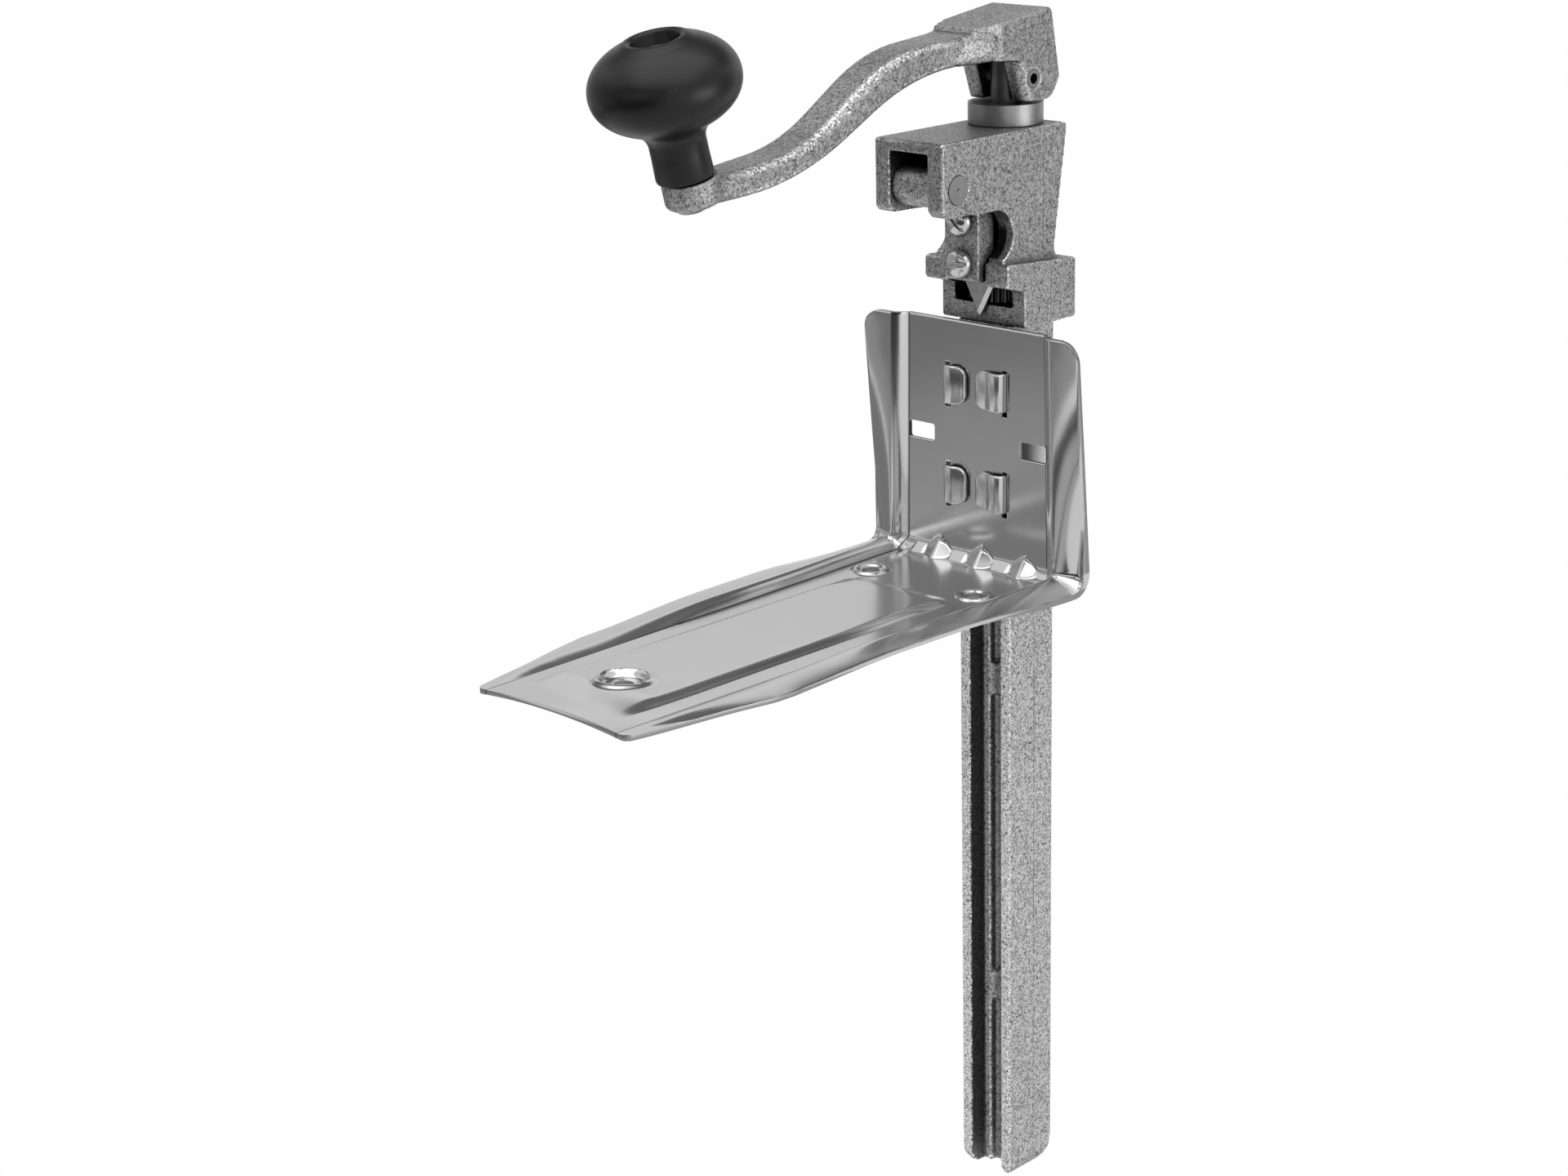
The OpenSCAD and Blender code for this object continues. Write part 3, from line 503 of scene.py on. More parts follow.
def set_floor(level):
    """A pale floor under the column's foot that keeps a faint shadow."""
    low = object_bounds()[0]
    bpy.ops.mesh.primitive_plane_add(size=12, location=(0, 0, low[2] - 0.0005))
    floor = bpy.context.object
    floor.name = "floor"
    material, graph = new_material("floor")
    matt = graph.add("ShaderNodeBsdfDiffuse", None, {"Color": (0.85, 0.85, 0.85, 1)})
    glow = graph.add("ShaderNodeEmission", None, {"Color": (1, 1, 1, 1), "Strength": 1.0})
    mix = graph.add("ShaderNodeMixShader", None, {0: seen_white(graph) * level, 1: matt, 2: glow})
    graph.add("ShaderNodeOutputMaterial", None, {"Surface": mix})
    floor.data.materials.append(material)
    floor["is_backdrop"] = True


def card(name, place, target, size, grey):
    """A flat studio card of that grey that only mirrors see: it puts a band into the metal."""
    bpy.ops.mesh.primitive_plane_add(size=1, location=place)
    board = bpy.context.object
    board.name = name
    board.scale = (size[0], size[1], 1)
    aim = Vector(target) - Vector(place)
    board.rotation_euler = aim.to_track_quat("Z", "Y").to_euler()
    board.visible_camera = False
    board.visible_diffuse = False
    board.visible_shadow = False
    board.visible_transmission = False
    material, graph = new_material(name)
    glow = graph.add("ShaderNodeEmission", None, {"Color": (grey, grey, grey, 1), "Strength": 1.0})
    graph.add("ShaderNodeOutputMaterial", None, {"Surface": glow})
    board.data.materials.append(material)
    board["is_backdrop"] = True


def set_lights():
    """Two softboxes overhead and to the right, and grey boards that shape the reflections."""
    softbox("top_softbox", (0.2, -0.3, 1.5), (0, 0, 0.1), (2.0, 1.8), 16)
    softbox("right_softbox", (1.6, 0.35, -0.3), (0, 0, 0), (1.1, 1.3), 18)
    card("front_board", (0.3, -1.7, 0.5), (0.3, 0, 0.5), (2.6, 1.7), 0.12)
    card("front_high_board", (0.15, -1.5, 0.5), (0, 0, 0.1), (1.3, 0.5), 1.0)
    card("camera_board", (0.52, -1.45, 0.0), (0.52, 0, 0), (1.65, 0.5), 0.02)
    card("front_left_board", (-1.3, -1.3, 0.6), (0, 0, 0.2), (1.3, 0.9), 0.45)
    card("front_right_board", (1.0, -0.92, 0.1), (0, 0, 0.1), (0.42, 0.75), 1.4)
    card("left_board", (-1.9, -0.3, 0.3), (0, -0.3, 0.3), (2.6, 1.3), 0.5)
    card("back_left_board", (-1.05, 1.05, 0.25), (0, 0, 0.1), (1.9, 0.62), 0.8)
    card("rear_board", (-0.6, 0.85, 1.25), (0, 0, 0.05), (3.0, 0.8), 0.16)
    card("right_board", (0.9, 1.1, 0.1), (0, 0, 0.05), (1.2, 0.9), 0.35)
    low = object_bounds()[0][2]
    for name, x, y, lift, size, grey in (
        ("floor_board", -0.9, -0.9, 2, 0.75, 0.42),
        ("far_floor_board", -1.5, -1.5, 3, 1.35, 0.24),
        ("left_floor_board", -1.15, 0.1, 2, 1.1, 0.28),
        ("front_floor_board", -0.05, -1.74, 4, 1.5, 0.03),
    ):
        card(name, (x, y, low + lift * MM), (x, y, 1), (size, size), grey)


# ---- Meshes ----


def declare(name, mesh, finish, body, nodes, smooth=True):
    """Links a finished mesh as a piece that rides on a body and replaces nodes."""
    mesh.materials.clear()
    mesh.materials.append(finish)
    mesh.polygons.foreach_set("use_smooth", [smooth] * len(mesh.polygons))
    piece = linked(name, mesh)
    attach(piece, body)
    if nodes:
        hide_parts(*nodes)


def merged_copy(node):
    """A closed copy of a solid's mesh."""
    shape = bmesh.new()
    shape.from_mesh(node.data)
    bmesh.ops.remove_doubles(shape, verts=shape.verts, dist=0.002 * MM)
    return shape


def box_shape(low, high):
    """A closed box between two corners in millimetres."""
    shape = bmesh.new()
    middle = (Vector(low) + Vector(high)) * 0.5 * MM
    sides = (Vector(high) - Vector(low)) * MM
    bmesh.ops.create_cube(shape, size=1, matrix=Matrix.LocRotScale(middle, None, sides))
    return shape


def by_angle(mesh, degrees=38):
    """Flat shading only across edges sharper than that."""
    mesh.set_sharp_from_angle(angle=math.radians(degrees))


def as_mesh(shape, name):
    """A bmesh as a mesh; the bmesh is freed."""
    mesh = bpy.data.meshes.new(name)
    shape.to_mesh(mesh)
    shape.free()
    return mesh


def as_shape(mesh):
    """A mesh as a bmesh; the mesh is removed."""
    shape = bmesh.new()
    shape.from_mesh(mesh)
    bpy.data.meshes.remove(mesh)
    return shape


def as_helper(shape, name):
    """A bmesh as a linked object, for modifiers to work on."""
    return linked(name, as_mesh(shape, name))


def applied(helper, *others):
    """The helper's mesh with its modifiers applied; the helpers are removed."""
    graph = bpy.context.evaluated_depsgraph_get()
    mesh = bpy.data.meshes.new_from_object(helper.evaluated_get(graph))
    for used in (helper, *others):
        bpy.data.objects.remove(used)
    return mesh


def combined(shape, tool, operation):
    """Boolean of two closed bmeshes as a bmesh."""
    helper = as_helper(shape, "shape")
    cutter = as_helper(tool, "tool")
    modifier = helper.modifiers.new("cut", "BOOLEAN")
    modifier.operation = operation
    modifier.solver = "MANIFOLD"
    modifier.object = cutter
    return as_shape(applied(helper, cutter))


def remeshed(shape, name, voxel):
    """An even quad mesh over a closed bmesh, by voxels of that size in millimetres."""
    helper = as_helper(shape, name)
    remesh = helper.modifiers.new("even", "REMESH")
    remesh.mode = "VOXEL"
    remesh.voxel_size = voxel * MM
    return applied(helper)


def edge_ends(mesh):
    """The two vertices of every edge."""
    ends = np.empty(len(mesh.edges) * 2, dtype=np.int64)
    mesh.edges.foreach_get("vertices", ends)
    return ends.reshape(-1, 2)


def points_of(mesh):
    """Every vertex's place, in metres."""
    flat = np.empty(len(mesh.vertices) * 3)
    mesh.vertices.foreach_get("co", flat)
    return flat.reshape(-1, 3)


def averaged(values, ends, count):
    """Each vertex's mean over its neighbours."""
    total = np.zeros_like(values)
    weight = np.bincount(ends.ravel(), minlength=count).astype(float)
    for a, b in ((0, 1), (1, 0)):
        for axis in range(values.shape[1]):
            total[:, axis] += np.bincount(
                ends[:, a], weights=values[ends[:, b], axis], minlength=count
            )
    return total / np.maximum(weight, 1)[:, None]


def soften(mesh, rounds, shrink=0.5, swell=-0.52):
    """Rounds the edges as a casting's are, without making the whole piece smaller."""
    ends = edge_ends(mesh)
    points = points_of(mesh)
    for _ in range(rounds):
        for share in (shrink, swell):
            points += (averaged(points, ends, len(points)) - points) * share
    mesh.vertices.foreach_set("co", points.ravel())
    mesh.update()


def mark_edges(mesh, rounds=2):
    """Stores how strongly each point bulges (+) or hollows (-) as the attribute edge."""
    strongest = 98.5
    ends = edge_ends(mesh)
    points = points_of(mesh)
    normals = np.empty(len(points) * 3)
    mesh.vertices.foreach_get("normal", normals)
    normals = normals.reshape(-1, 3)
    away = averaged(points, ends, len(points)) - points
    bulge = -np.einsum("ij,ij->i", away, normals)[:, None]
    for _ in range(rounds):
        bulge = 0.5 * bulge + 0.5 * averaged(bulge, ends, len(points))
    top = np.percentile(bulge, strongest)
    store = mesh.attributes.new("edge", "FLOAT", "POINT")
    store.data.foreach_set("value", np.clip(bulge[:, 0] / max(top, 1e-9), -1, 1))


def cast_piece(name, shape, voxel, rounds, finish, body, nodes):
    """A cast part: even mesh, softened edges, wear marked."""
    mesh = remeshed(shape, name, voxel)
    soften(mesh, rounds)
    mark_edges(mesh)
    declare(name, mesh, finish, body, nodes)


# ---- Sheet bracket ----


def eased(t):
    """0 below 0, 1 above 1, and a smooth climb between."""
    t = np.clip(t, 0, 1)
    return t * t * (3 - 2 * t)


def between(stage, tongue, bend, panel):
    """A size that changes from the tongue's end through the bend to the panel's top."""
    return np.where(stage < 1, tongue + (bend - tongue) * stage, bend + (panel - bend) * (stage - 1))


def sheet_rows():
    """Rows along the sheet as (kind, place): tongue by Y, bend by angle, panel by Z."""
    stops = ((-REACH - 1, 14), (-196, 54), (-172, 70), (-70, 30), (-52, 42), (-37, 14))
    ends = [start for start, count in stops[1:]] + [TONGUE_END]
    spans = [
        np.linspace(start, end, count, endpoint=False)
        for (start, count), end in zip(stops, ends)
    ]
    tongue = [(0, y) for y in np.append(np.concatenate(spans), TONGUE_END)]
    bend = [(1, a) for a in np.linspace(0, 90, 16)[1:]]
    panel = [(2, z) for z in np.linspace(SHEET + BEND, PANEL_TOP + 1, 84)[1:]]
    return np.array(tongue + bend + panel)


def sheet_marks():
    """Columns across half the sheet: 0 centre, 1 pad, 2 pad's foot, 3 flat, 4 crest, 5 lip."""
    spans = ((0, 1, 30), (1, 2, 8), (2, 3, 14), (3, 4, 9), (4, 5, 10))
    marks = [np.linspace(low, high, count, endpoint=False) for low, high, count in spans]
    half = np.append(np.concatenate(marks), 5.0)
    return np.concatenate([-half[:0:-1], half])


def bracket_grid(rows, marks):
    """X and the height over the flat for every row and column.

    Along the taper the grid is wider than the outline by the spare, which is cut away.
    """
    spare = 0.8
    kind, place = rows[:, :1], rows[:, 1:]
    stage = np.where(kind == 0, 0, np.where(kind == 1, place / 90, 0))
    stage = np.where(kind == 2, 1 + (place - SHEET - BEND) / (PANEL_TOP - SHEET - BEND), stage)
    along = np.where(kind == 0, place, TONGUE_END)
    past = along + REACH - TAPER
    narrowed = FLAT_NARROWING * (along - TONGUE_END) / (REACH + TONGUE_END)
    flat = np.where(kind == 0, FLAT_HALF[0] + narrowed, between(stage, *FLAT_HALF))
    straight = (EDGE_HALF[0] - TAPER_HALF) * past / (REACH - TAPER - 30)
    straight = TAPER_HALF + straight + spare * eased(1 - past / 12)
    taper = TAPER_HALF + spare + (TAPER_HALF - TIP_HALF) * past / TAPER
    tongue_edge = np.where(past < 0, taper, straight)
    edge = np.where(kind == 0, tongue_edge, between(stage, *EDGE_HALF))
    rise = np.minimum(BEAD_RISE, (edge - flat) / 2)
    lip = 0.2 + 2.2 * eased((along + 165) / 60) - 2.9 * eased((along + 78) / 55)
    lip = np.where(kind == 0, lip, between(stage, *LIP_HIGH))
    low_crest = 1.2 + 2.2 * eased((along + 165) / 60) + 0.4 * eased((along + 78) / 55)
    low_crest = low_crest * eased((along + REACH + 1) / 30)
    crest = np.where(kind == 0, low_crest, between(stage, *CREST_HIGH))
    pad = [np.full_like(flat, half) for half in (0, PAD_TOP, PAD_FOOT)]
    stops = pad + [flat, flat + rise, edge]
    size = np.abs(marks)[None, :]
    x = sum(np.clip(size - k, 0, 1) * (stops[k + 1] - stops[k]) for k in range(len(stops) - 1))
    climb = np.clip(size - 3, 0, 1)
    fall = np.clip(size - 4, 0, 1)
    height = crest * (1 - (1 - climb) ** 1.9)
    height = height + (lip - crest) * (0.4 * fall + 0.6 * fall**2) * (size > 4)
    return np.sign(marks)[None, :] * x, height


def past_outline(x, y, half, end, radius):
    """Distance past a strip's outline that is rounded at its end (less than 0 inside)."""
    out_x, out_y = np.abs(x) - half + radius, y - end + radius
    outside = np.hypot(np.maximum(out_x, 0), np.maximum(out_y, 0))
    return outside + np.minimum(np.maximum(out_x, out_y), 0) - radius


def pad_height(x, y):
    """The raised pad: its top is rounder at the bend's end than its foot, and fades at the tip."""
    foot = -past_outline(x, y, PAD_FOOT, -53.5, 6)
    top = past_outline(x, y, PAD_TOP, -61, 14)
    wall = np.clip(foot / np.maximum(foot + np.maximum(top, 0), 0.01), 0, 1)
    return PAD_HIGH * (1 - (1 - wall) ** 1.8) * eased((y + 207) / 18)


def tip_bow(x, y):
    """The tip's edge is bowed: high in the middle, low at its corners."""
    return (1.5 - 2.0 * (x / TIP_HALF) ** 2) * eased(1 - (y + REACH) / 42)


def ring_height(x, y, centre, stops):
    """A pressed ring round a screw hole, from (radius, height) stops, outside in."""
    radius = np.hypot(x - centre[0], y - centre[1])
    total = np.zeros_like(radius)
    for (outer, high), (inner, low) in zip(stops, stops[1:]):
        share = eased((outer - radius) / (outer - inner))
        total = np.where(radius <= outer, high + (low - high) * share, total)
    return total


def gusset_height(kind, place, x):
    """Three-sided ribs: straight over the bend from the tongue to the panel."""
    foot, rise, half = 5.2, 6.8, 5.8
    best = np.zeros(np.broadcast(kind, x).shape)
    for ridge in GUSSET_PLACES:
        share = 1 - 0.5 * np.abs(x - ridge) / half
        angle = np.radians(np.where(kind == 1, place, 0))
        turned = BEND * (1 / foot + 1 / rise) - share
        on_bend = BEND - turned / (np.sin(angle) / foot + np.cos(angle) / rise)
        on_tongue = rise * (share - (PANEL_FRONT - place) / foot)
        on_panel = foot * (share - (place - SHEET) / rise)
        height = np.where(kind == 0, on_tongue, np.where(kind == 1, on_bend, on_panel))
        best = np.maximum(best, np.where(np.abs(x - ridge) < half, height, 0))
    for low, high in FLAT_PLACES:
        facet = BEND - 0.9 * BEND / np.cos(np.radians(place - 45))
        inside = (kind == 1) & (x > low) & (x < high)
        best = np.maximum(best, np.where(inside, facet, 0))
    return best


def bracket_points(rows, x, height):
    """Places the grid's points on the tongue, round the bend and up the panel."""
    kind, place = rows[:, :1], rows[:, 1:]
    angle = np.radians(np.where(kind == 1, place, 0))
    y = np.where(kind == 0, place, TONGUE_END + (BEND - height) * np.sin(angle))
    y = np.where(kind == 2, PANEL_FRONT - height, y)
    z = np.where(kind == 0, SHEET + height, SHEET + BEND - (BEND - height) * np.cos(angle))
    z = np.where(kind == 2, place, z)
    return np.stack([x + 0 * y, y + 0 * x, z + 0 * x], axis=-1)


def closed_sheet(upper, lower):
    """A closed shell between two grids of the same shape."""
    count, across = upper.shape[:2]
    under = count * across
    points = np.concatenate([upper.reshape(-1, 3), lower.reshape(-1, 3)])
    index = np.arange(under).reshape(count, across)
    quads = np.stack([index[:-1, :-1], index[:-1, 1:], index[1:, 1:], index[1:, :-1]], axis=-1)
    quads = quads.reshape(-1, 4)
    rim = np.concatenate([index[0, :-1], index[:-1, -1], index[-1, :0:-1], index[:0:-1, 0]])
    ahead = np.roll(rim, -1)
    sides = np.stack([rim, rim + under, ahead + under, ahead], axis=-1)
    return points, np.concatenate([quads, quads[:, ::-1] + under, sides])


def bridge(shape, first, second):
    """Faces between two rings of as many points."""
    for k in range(len(first)):
        ahead = (k + 1) % len(first)
        shape.faces.new([first[k], first[ahead], second[ahead], second[k]])


def outline_prism(outline, low, high, upright=False):
    """A prism over a flat outline: from Z low to high, or along Y if upright."""
    shape = bmesh.new()
    rings = []
    for level in (low, high):
        points = [(a, level, b) if upright else (a, b, level) for a, b in outline]
        rings.append([shape.verts.new(Vector(point) * MM) for point in points])
    for ring in rings:
        shape.faces.new(ring)
    bridge(shape, *rings)
    bmesh.ops.recalc_face_normals(shape, faces=shape.faces)
    return shape


def rounded(corners, steps=8):
    """An outline of (a, b, radius) corners with each corner rounded."""
    outline = []
    for k, (a, b, radius) in enumerate(corners):
        here = np.array([a, b], float)
        if radius <= 0:
            outline.append(tuple(here))
            continue
        back = np.array(corners[k - 1][:2], float) - here
        ahead = np.array(corners[(k + 1) % len(corners)][:2], float) - here
        back, ahead = back / np.linalg.norm(back), ahead / np.linalg.norm(ahead)
        half = math.acos(np.clip(back @ ahead, -1, 1)) / 2
        middle = here + (back + ahead) / np.linalg.norm(back + ahead) * radius / math.sin(half)
        first = here + back * radius / math.tan(half) - middle
        last = here + ahead * radius / math.tan(half) - middle
        start = math.atan2(first[1], first[0])
        sweep = (math.atan2(last[1], last[0]) - start + math.pi) % (2 * math.pi) - math.pi
        for share in np.linspace(0, 1, steps + 1):
            angle = start + sweep * share
            outline.append(tuple(middle + radius * np.array([math.cos(angle), math.sin(angle)])))
    return outline


def joined(shapes):
    """Several closed bmeshes as one."""
    whole = bmesh.new()
    for shape in shapes:
        mesh = as_mesh(shape, "part")
        whole.from_mesh(mesh)
        bpy.data.meshes.remove(mesh)
    return whole


def panel_cutter(middle, half, low, high, radius):
    """A cutter through the panel with rounded corners, that wide about its middle."""
    left, right = middle - half, middle + half
    corners = [(left, low, radius), (right, low, radius), (right, high, radius)]
    corners.append((left, high, radius))
    return outline_prism(rounded(corners, 3), PANEL_FRONT - 6, PANEL_FRONT + 6, upright=True)


def mirrored(right):
    """A closed outline from its right half, listed from the near end to the far one."""
    left = [(-a, b, radius) for a, b, radius in reversed(right)]
    return left[-1:] + right + left[:-1]


def pressed_sheet(holes, axis_y):
    """The whole pressing as a closed bmesh, wider than the blank that is cut from it."""
    rows, marks = sheet_rows(), sheet_marks()
    kind, place = rows[:, :1], rows[:, 1:]
    x, height = bracket_grid(rows, marks)
    tip_ring = ((11.2, 0), (8.6, 0.9), (6.3, -1.5), (0, -1.5))
    rear_ring = ((6.9, 0), (5.7, 0.9), (5.0, 0.75), (3.0, -0.6))
    pressed = pad_height(x, place) + tip_bow(x, place)
    for centre, stops in zip(holes, (tip_ring, rear_ring, rear_ring)):
        pressed += ring_height(x, place, centre, stops)
    height = height + np.where(kind == 0, pressed, 0)
    top = bracket_points(rows, x, np.maximum(height, gusset_height(kind, place, x)))
    lower = bracket_points(rows, x, height - SHEET)
    points, faces = closed_sheet(top, lower)
    points[:, 1] += axis_y
    shape = bmesh.new()
    vertices = [shape.verts.new(tuple(p)) for p in points * MM]
    for face in faces:
        shape.faces.new([vertices[k] for k in face])
    bmesh.ops.recalc_face_normals(shape, faces=shape.faces)
    return shape


def trimmed_sheet(shape, axis_y):
    """The pressing cut to its outline from above, then from the front."""
    tongue = [(TIP_HALF, -REACH, 3), (TAPER_HALF, -REACH + TAPER, 25)]
    tongue.append((51, TONGUE_END - 10, 0))
    tongue += [(60, TONGUE_END - 5, 0), (60, 10, 0)]
    flat = outline_prism([(a, b + axis_y) for a, b in rounded(mirrored(tongue))], -30, 200)
    shape = combined(shape, flat, "INTERSECT")
    panel = [(60, -20, 0), (60, 40, 0), (PANEL_HALF, 42, 0), (PANEL_HALF, PANEL_TOP, 7)]
    front = outline_prism(rounded(mirrored(panel)), -300, 200, upright=True)
    return combined(shape, front, "INTERSECT")


def screw_bore(x, y):
    """A cutter for a screw hole in the tongue."""
    radius, deep = HOLE_RADIUS * MM, 12 * MM
    place = Matrix.Translation(Vector((x, y, 0)) * MM)
    sizes = {"radius1": radius, "radius2": radius, "depth": deep}
    bore = bmesh.new()
    bmesh.ops.create_cone(bore, cap_ends=True, segments=48, matrix=place, **sizes)
    return bore


def build_bracket(chrome, axis_y):
    """The pressed sheet: beads, pad, rings, gussets, windows, slots and screw holes."""
    holes = [(0.0, -axis_y - TIP_HOLE), (-REAR_HOLE_X, -axis_y), (REAR_HOLE_X, -axis_y)]
    shape = trimmed_sheet(pressed_sheet(holes, axis_y), axis_y)
    cutters = []
    for side in (-1, 1):
        cutters.append(panel_cutter(side * WINDOW_X, WINDOW_HALF, *WINDOW_Z, 0.9))
        for low in TAB_SLOT_LOW:
            high = low + TAB_SLOT_TALL
            cutters.append(panel_cutter(side * TAB_SLOT_X, TAB_SLOT_HALF, low, high, 0.2))
    tool = joined(cutters)
    bmesh.ops.translate(tool, verts=tool.verts, vec=(0, axis_y * MM, 0))
    shape = combined(shape, tool, "DIFFERENCE")
    for x, y in holes:
        shape = combined(shape, screw_bore(x, y + axis_y), "DIFFERENCE")
    mesh = bevelled(shape, 0.3, 62)
    by_angle(mesh)
    declare("pressed_bracket", mesh, chrome, "bracket", ["support_bracket"])


# ---- Pieces ----


def build_castings(nodes, finishes):
    """The column in two meshes, the crank and the knife holder."""
    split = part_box("guide_channel")[1][2] / MM
    low, high = (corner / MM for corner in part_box("column_casting"))
    room = Vector((5, 5, 5))
    halves = (
        ("column_bar", low - room, (high.x + 5, high.y + 5, split), 0.8, 2, "bar"),
        ("column_head", (low.x - 5, low.y - 5, split), high + room, 0.55, 3, "head"),
    )
    for name, start, end, voxel, rounds, finish in halves:
        solid = merged_copy(nodes["column_casting"])
        half = combined(solid, box_shape(start, end), "INTERSECT")
        cast_piece(name, half, voxel, rounds, finishes[finish], "column", ["column_casting"])
    crank = merged_copy(nodes["crank_arm"])
    cast_piece("cast_crank", crank, 0.55, 3, finishes["crank"], "crank", ["crank_arm"])
    holder = merged_copy(nodes["knife_holder"])
    finish = finishes["holder"]
    cast_piece("cast_knife_holder", holder, 0.35, 2, finish, "knife", ["knife_holder"])


# ---- Geometry Nodes parts ----


def parts_tree(name, inputs):
    """A Geometry Nodes group with inputs listed by kind, and the wires of its inputs by name."""
    tree = bpy.data.node_groups.new(name, "GeometryNodeTree")
    new_socket = tree.interface.new_socket
    for kind, labels in {"Geometry": ["Geometry"], **inputs}.items():
        for label in labels:
            new_socket(label, in_out="INPUT", socket_type="NodeSocket" + kind)
    new_socket("Geometry", in_out="OUTPUT", socket_type="NodeSocketGeometry")
    graph = Graph(tree)
    given = graph.add("NodeGroupInput").socket.node.outputs
    return graph, {socket.name: Wire(graph, socket) for socket in given if socket.name}


def finish_tree(graph, shape, finish):
    """Ends a tree in Realize Instances and Set Material."""
    real = graph.add("GeometryNodeRealizeInstances", None, {"Geometry": shape})
    coat = graph.add("GeometryNodeSetMaterial", None, {"Geometry": real, "Material": finish})
    graph.add("NodeGroupOutput", None, {"Geometry": coat})


def run_tree(tree, values, shape=None):
    """Runs a group on a bmesh, with its inputs set by name, and returns the mesh."""
    helper = as_helper(shape or bmesh.new(), tree.name)
    modifier = helper.modifiers.new(tree.name, "NODES")
    modifier.node_group = tree
    for item in tree.interface.items_tree:
        if item.in_out == "INPUT" and item.name in values:
            modifier[item.identifier] = values[item.name]
    return applied(helper)


def copies_tree(finish):
    """Copies of a shape in a row, each turned further about Y than the one before."""
    inputs = {"Int": ["Count"], "Vector": ["First", "Step"], "Float": ["Turn", "Turn Step"]}
    graph, given = parts_tree("row_of_copies", inputs)
    places = {"Count": given["Count"], "Start Location": given["First"], "Offset": given["Step"]}
    line = graph.add("GeometryNodeMeshLine", {"mode": "OFFSET"}, places)
    index = graph.add("GeometryNodeInputIndex")
    turn = index * given["Turn Step"] + given["Turn"]
    turns = graph.add("ShaderNodeCombineXYZ", None, {"Y": turn})
    rotation = graph.add("FunctionNodeEulerToRotation", None, {"Euler": turns})
    sockets = {"Points": line, "Instance": given["Geometry"], "Rotation": rotation}
    copies = graph.add("GeometryNodeInstanceOnPoints", None, sockets)
    finish_tree(graph, copies, finish)
    return graph.tree


def gear_tree(finish):
    """A toothed wheel: a rim that steps in and out, filled round a bore and raised."""
    inputs = {"Int": ["Teeth"], "Float": ["Radius", "Depth", "Bore", "Thickness"]}
    steps = 10
    graph, given = parts_tree("toothed_wheel", inputs)
    count = {"Resolution": given["Teeth"] * steps, "Radius": 1.0}
    rim = graph.add("GeometryNodeCurvePrimitiveCircle", None, count)
    index = graph.add("GeometryNodeInputIndex")
    phase = graph.math("FRACT", index / steps)
    swing = abs(phase - 0.5) * 2
    radius = given["Radius"] - swing.above(0.3, 0.72) * given["Depth"]
    place = graph.add("GeometryNodeInputPosition")
    scaled = graph.add("ShaderNodeVectorMath", {"operation": "SCALE"}, {0: place, "Scale": radius})
    shaped = graph.add("GeometryNodeSetPosition", None, {"Geometry": rim, "Position": scaled})
    hole = {"Resolution": 48, "Radius": given["Bore"]}
    bore = graph.add("GeometryNodeCurvePrimitiveCircle", None, hole)
    both = graph.add("GeometryNodeJoinGeometry", None, {0: [shaped, bore]})
    face = graph.add("GeometryNodeFillCurve", None, {"Curve": both})
    lift = {"Mesh": face, "Offset Scale": given["Thickness"], "Individual": False}
    raised = graph.add("GeometryNodeExtrudeMesh", None, lift)
    turned = graph.add("GeometryNodeFlipFaces", None, {"Mesh": face})
    solid = graph.add("GeometryNodeJoinGeometry", None, {0: [raised, turned]})
    merge = {"Geometry": solid, "Distance": 0.01 * MM}
    finish_tree(graph, graph.add("GeometryNodeMergeByDistance", None, merge), finish)
    return graph.tree


# ---- Small pieces ----


def revolved(profile, segments, place):
    """A closed bmesh turned from (radius, height) points about an axis given by place."""
    shape = bmesh.new()
    rings = []
    for radius, height in profile:
        ring = []
        for k in range(segments):
            angle = 2 * math.pi * k / segments
            point = Vector((radius * math.cos(angle), radius * math.sin(angle), height)) * MM
            ring.append(shape.verts.new(place @ point))
        rings.append(ring)
    for first, second in zip(rings, rings[1:] + rings[:1]):
        bridge(shape, first, second)
    bmesh.ops.remove_doubles(shape, verts=shape.verts, dist=0.001 * MM)
    bmesh.ops.recalc_face_normals(shape, faces=shape.faces)
    return shape


def bevelled(shape, width, degrees=35):
    """The bmesh's mesh with its sharp edges rounded."""
    helper = as_helper(shape, "bevelled")
    modifier = helper.modifiers.new("edges", "BEVEL")
    modifier.width = width * MM
    modifier.segments = 2
    modifier.limit_method = "ANGLE"
    modifier.angle_limit = math.radians(degrees)
    modifier.use_clamp_overlap = True
    return applied(helper)


def joint_place(frame, name):
    """Where a joint's axis starts and which way it points, as a matrix."""
    joint = next(item for item in frame["joints"] if item["name"] == name)
    axis = Vector(joint["axis"])
    turn = Vector((0, 0, 1)).rotation_difference(axis).to_matrix().to_4x4()
    return Matrix.Translation(Vector(joint["pos_m"])) @ turn


def line_point(points, reached, mark):
    """The point of a line that is that far along it."""
    return [np.interp(mark, reached, [point[k] for point in points]) for k in range(2)]


